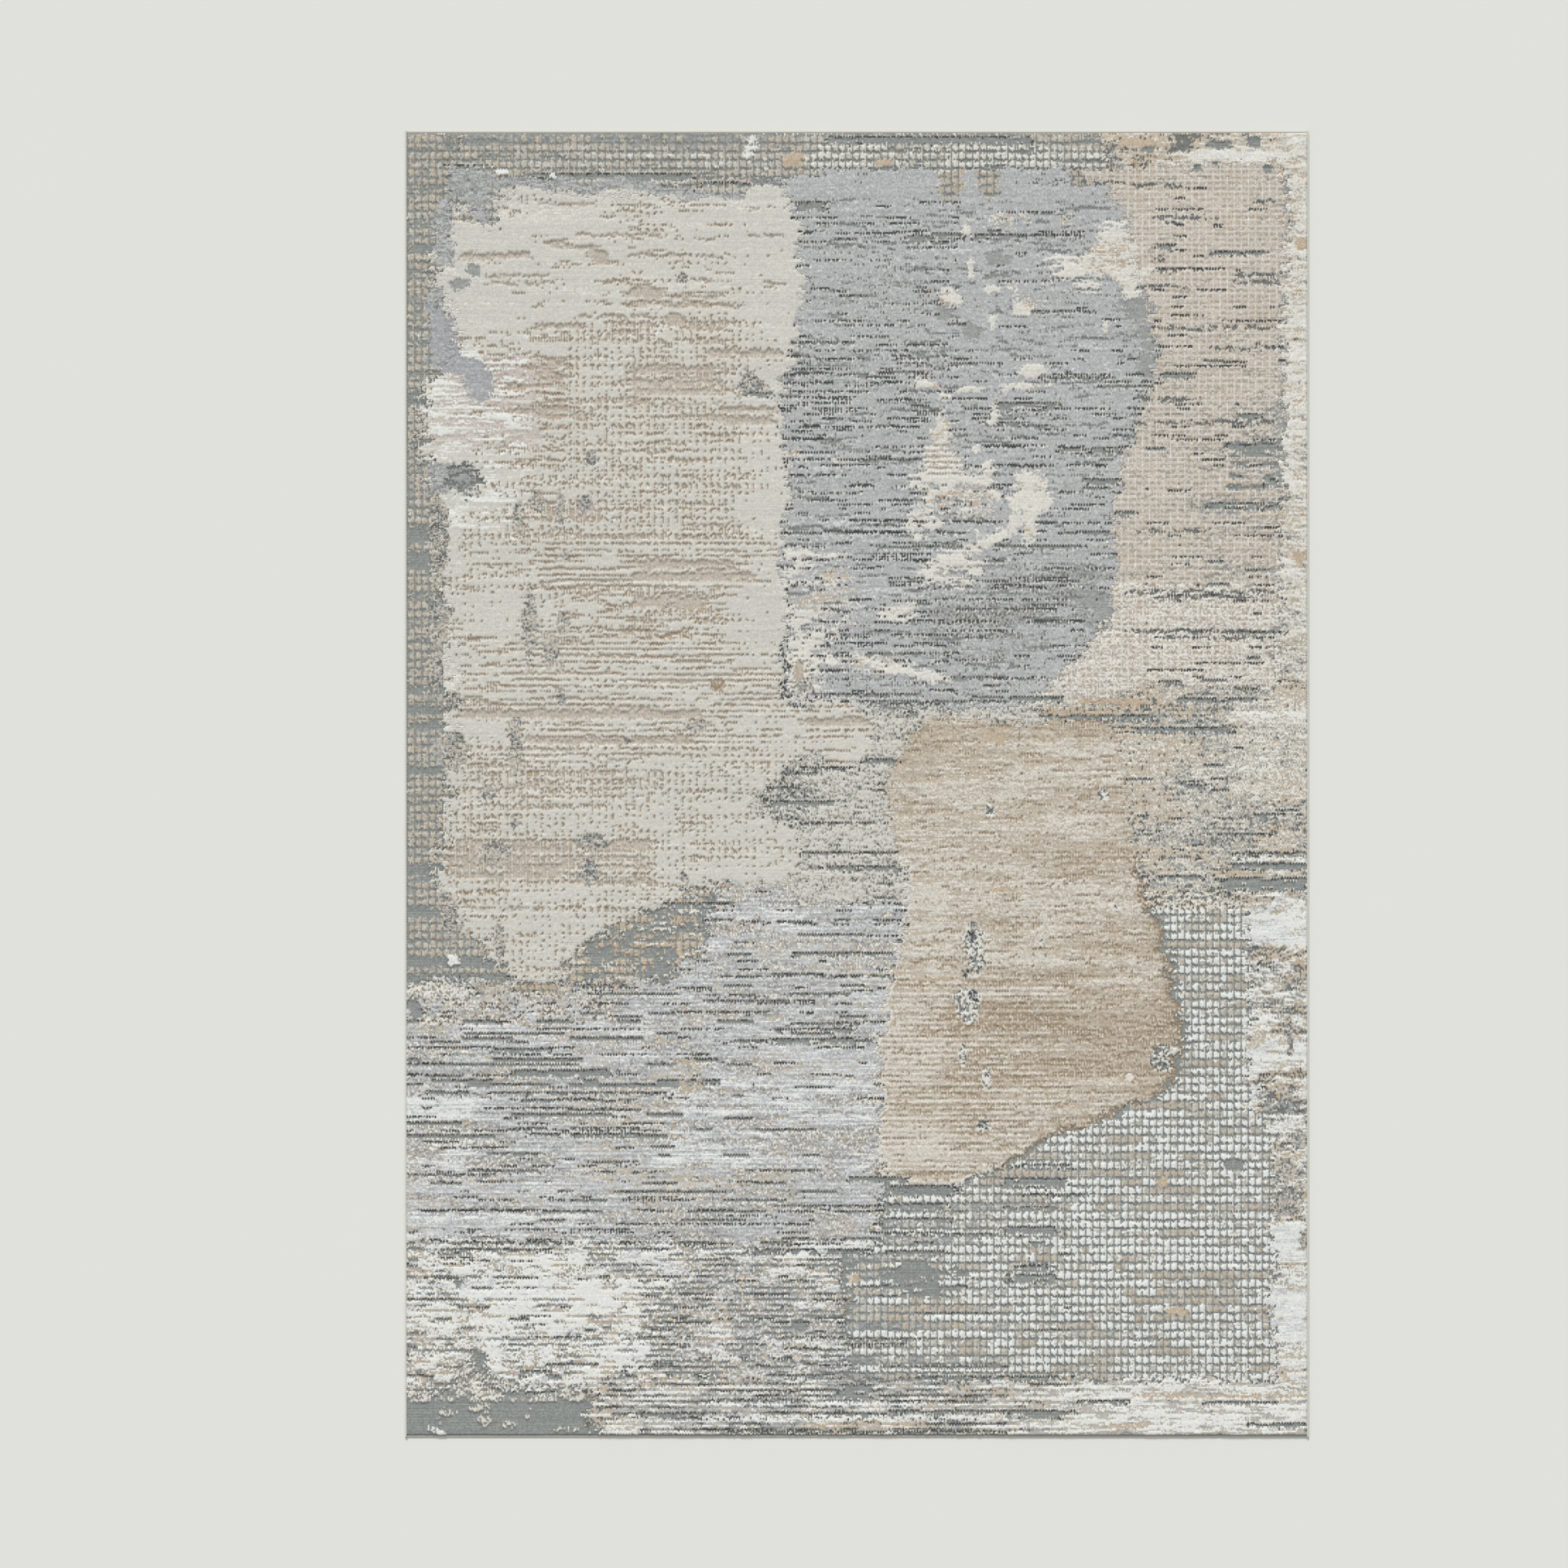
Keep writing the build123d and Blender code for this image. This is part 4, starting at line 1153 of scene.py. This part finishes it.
def hem_web(name, node, outer_side):
    """Woven web folded round the end of the cloth, with a rib for each warp end."""
    low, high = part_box(node)
    lip, under, thick = 0.004, 0.028, 0.001
    outer = high.y if outer_side > 0 else low.y
    # How far in from the end, how high, and whether that part is ribbed.
    profile = [
        (0.0003, 0.0002, 1), (0.0, 0.0008, 1), (0.0, 0.0020, 1), (0.0, 0.0032, 1),
        (0.0003, high.z - 0.0001, 1), (0.0008, high.z, 1), (lip / 2, high.z, 1),
        (lip - 0.0004, high.z, 1), (lip, high.z - 0.0004, 0), (lip, CLOTH_TOP, 0),
        (thick, CLOTH_TOP, 0), (thick, 0.0008, 0), (under, 0.0008, 0), (under, 0.0002, 0),
        (under - 0.0006, 0.0, 1), (under * 0.86, 0.0, 1), (under * 0.7, 0.0, 1),
        (under * 0.5, 0.0, 1), (under * 0.3, 0.0, 1), (0.0008, 0.0, 1),
    ]
    x = np.linspace(low.x, high.x, COLS * 3)
    dip = HEM_RIB * dips(x - low.x)
    sections = []
    for inset, z, ribbed in profile:
        outward_z = (z > CLOTH_TOP) - (z < 0.0003)
        y = outer - outer_side * (inset + dip * (ribbed and inset < 0.0007))
        sections.append(np.stack([x, np.broadcast_to(y, x.shape), z - dip * ribbed * outward_z], axis=-1))
    return tube(name, np.transpose(sections, (1, 0, 2))[:, ::outer_side])


def stitch_row(name, starts, step, radius):
    """A seam of short plump stitches. Each start is a point, and step the way along."""
    step = np.asarray(step)
    length = np.linalg.norm(step)
    ahead = step / length
    aside = np.cross((0, 0, 1), ahead)
    turn = np.arange(6) / 6 * math.tau
    ring = np.outer(np.cos(turn), aside) + np.outer(np.sin(turn), (0, 0, 1))
    shape = ((0.04, 0.25), (0.16, 0.85), (0.46, 1.0), (0.76, 0.85), (0.88, 0.25))
    one = np.concatenate([ahead * length * along + ring * radius * full for along, full in shape])
    points = np.asarray(starts)[:, None, :] + one
    shifts = np.arange(len(starts))[:, None, None] * len(one)
    faces = tube_faces(len(shape), len(turn)) + shifts
    return build_mesh(name, points.reshape(-1, 3), faces.reshape(-1, 4))


hem_material = yarn_material("hem_web", (196, 192, 182), STITCH, 0)
thread_material = yarn_material("thread", (168, 160, 147), 0.0006, 0, 6000)
for end, outer_side in (("head", 1), ("foot", -1)):
    hem = hem_web(f"{end}_hem_web", f"{end}_hem", outer_side)
    place(hem, hem_material, f"{end}_hem")
    low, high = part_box(f"{end}_hem_stitching")
    seam_x = np.arange(low.x, high.x - SEAM_PITCH, SEAM_PITCH)
    top_y, return_y = (high.y, low.y) if outer_side > 0 else (low.y, high.y)
    inward = -outer_side * SEAM_RADIUS
    top = [(x, top_y + inward, high.z - SEAM_RADIUS) for x in seam_x]
    under = [(x, return_y - inward, low.z + SEAM_RADIUS) for x in seam_x]
    seam = stitch_row(f"{end}_hem_seams", top + under, (SEAM_PITCH, 0, 0), SEAM_RADIUS)
    place(seam, thread_material, f"{end}_hem_stitching")

# --- Ground cloth, latex back and care label ---

RIB = 0.0002
LINES_PER_RIB = 4
SKIM = 0.0001
LUMP = 0.00008
LABEL_GAP = 0.0005
LABEL_STITCH = 0.0025
LABEL_SEAM_RADIUS = 0.00015


def slab(name, xs, ys, top, bottom, hole=None):
    """A closed sheet on a grid of lines, with its top and bottom given as heights."""
    count_x, count_y = len(xs), len(ys)
    grid_x, grid_y = np.meshgrid(xs, ys)
    number = np.arange(count_x * count_y).reshape(count_y, count_x)
    quads = np.stack([number[:-1, :-1], number[:-1, 1:], number[1:, 1:], number[1:, :-1]], axis=-1)
    keep = np.ones(quads.shape[:2], bool)
    if hole:
        mid_x, mid_y = np.meshgrid((xs[:-1] + xs[1:]) / 2, (ys[:-1] + ys[1:]) / 2)
        keep = ~((mid_x > hole[0]) & (mid_x < hole[2]) & (mid_y > hole[1]) & (mid_y < hole[3]))
    quads = quads[keep]
    total = count_x * count_y
    walls, _ = walls_under(quads, total)
    layers = [np.stack([grid_x, grid_y, np.broadcast_to(z, grid_x.shape)], axis=-1).reshape(-1, 3)
              for z in (top, bottom)]
    faces = np.concatenate([quads, quads[:, ::-1] + total, walls])
    return build_mesh(name, np.concatenate(layers), faces, smooth=False)


def rib_lines(low, high):
    """Lines along a side, so many to each rib."""
    return np.linspace(low, high, round((high - low) / STITCH) * LINES_PER_RIB + 1)


jute = yarn_material("jute", (178, 156, 122), STITCH, 1, 1800)
warp_yarn = yarn_material("stuffer_yarn", (205, 198, 180), STITCH, 0, 1800)
for node in ("lower_weft", "upper_weft"):
    low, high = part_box(node)
    ys = rib_lines(low.y, high.y)
    rib = (RIB * dips(ys - low.y))[:, None]
    picks = slab(f"{node}_picks", np.linspace(low.x, high.x, 9), ys, high.z - rib, low.z + rib)
    place(picks, jute, node)
low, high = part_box("stuffer_warp")
xs = rib_lines(low.x, high.x)
rib = RIB * dips(xs - low.x)
stuffer = slab("stuffer_warp_ends", xs, np.linspace(low.y, high.y, 9), high.z - rib, low.z + rib)
place(stuffer, warp_yarn, "stuffer_warp")

label_low, label_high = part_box("care_label")
window = (label_low.x - LABEL_GAP, label_low.y - LABEL_GAP,
          label_high.x + LABEL_GAP, label_high.y + LABEL_GAP)
low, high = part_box("latex_coat")
ys = np.unique(np.concatenate([rib_lines(low.y, high.y), [window[1], window[3]]]))
xs = np.unique(np.concatenate([np.linspace(low.x, high.x, 60), [window[0], window[2]]]))
lumps = LUMP * np.sin(xs * 41)[None, :] * np.sin(ys * 37)[:, None]
rib = RIB * dips(ys - low.y)[:, None] + SKIM
latex_back = slab("latex_back", xs, ys, high.z, low.z + rib + lumps, window)


def latex_material():
    """A thin cream latex film over jute ribs, with painted shade in the hollows of the weave."""
    nodes = Nodes("latex_film")
    blotches, specks = nodes.noise(9, 4.0), nodes.noise(900)
    weave = nodes.math("MULTIPLY", nodes.ridges(STITCH, 0), nodes.ridges(STITCH, 1))
    colour = nodes.tone((203, 190, 160), 0.9, 1.08, blotches)
    # Painted shade: darker in the hollows between the crests of the weave.
    colour = nodes.tone(nodes.tone(colour, 0.85, 1.05, weave), 0.93, 1.07, specks)
    return nodes.finish(colour, nodes.math("ADD", weave, specks), 0.0003, 0.55)


place(latex_back, latex_material(), "latex_coat")

xs = np.linspace(label_low.x, label_high.x, 61)
ys = np.linspace(label_low.y, label_high.y, 41)
ripple = LUMP * np.sin(xs * 240)[None, :] * np.cos(ys * 190)[:, None]
label = slab("care_label_tape", xs, ys, label_high.z, label_low.z + SKIM + ripple)
place(label, yarn_material("label_tape", (228, 226, 220), 0.0005, 1, 4000), "care_label")
low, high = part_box("care_label_stitching")
seam_y = np.arange(low.y, high.y - 0.002, LABEL_STITCH)
seam_x = (low.x + LABEL_SEAM_RADIUS, high.x - LABEL_SEAM_RADIUS)
starts = [(x, y, low.z + LABEL_SEAM_RADIUS) for x in seam_x for y in seam_y]
label_seams = stitch_row("care_label_seams", starts, (0, LABEL_STITCH, 0), LABEL_SEAM_RADIUS)
place(label_seams, thread_material, "care_label_stitching")

# --- Floor, light and camera ---

FLOOR_HALF = 14.0
AMBIENT = 0.5
SUN_ELEVATION = math.radians(42)
SUN_TURN = math.radians(12)
FRAME_WIDTH = 2.772
RUG_OFF_CENTRE = 0.1288


def make_floor():
    corners = FLOOR_HALF * np.array([(-1, -1, 0), (1, -1, 0), (1, 1, 0), (-1, 1, 0)])
    floor = build_mesh("floor", corners, np.array([[0, 1, 2, 3]]))
    nodes = Nodes("pale_floor")
    colour = nodes.tone((224, 225, 220), 0.995, 1.005, nodes.noise(3))
    floor.data.materials.append(nodes.finish(colour, nodes.noise(200), 0.00002, 1.0))
    nodes.shader.inputs["Specular IOR Level"].default_value = 0.0


def make_light():
    world = bpy.data.worlds.new("studio")
    world.use_nodes = True
    background = world.node_tree.nodes["Background"]
    background.inputs["Color"].default_value = (1, 1, 1, 1)
    background.inputs["Strength"].default_value = AMBIENT
    bpy.context.scene.world = world
    sun = bpy.data.lights.new("softbox", "SUN")
    sun.angle = math.radians(12)
    sun.energy = (1 - AMBIENT) * math.pi / math.sin(SUN_ELEVATION)
    new_object("softbox", sun).rotation_euler = (SUN_ELEVATION - math.pi / 2, 0, SUN_TURN)


def make_camera():
    camera = bpy.data.cameras.new("camera")
    camera.lens = 85
    camera.clip_end = 50
    view = new_object("camera", camera)
    distance = FRAME_WIDTH * camera.lens / camera.sensor_width
    view.location = (-RUG_OFF_CENTRE, 0, PILE_TOP + distance)
    bpy.context.scene.camera = view


make_floor()
make_light()
make_camera()
bpy.context.scene.view_settings.view_transform = "Standard"
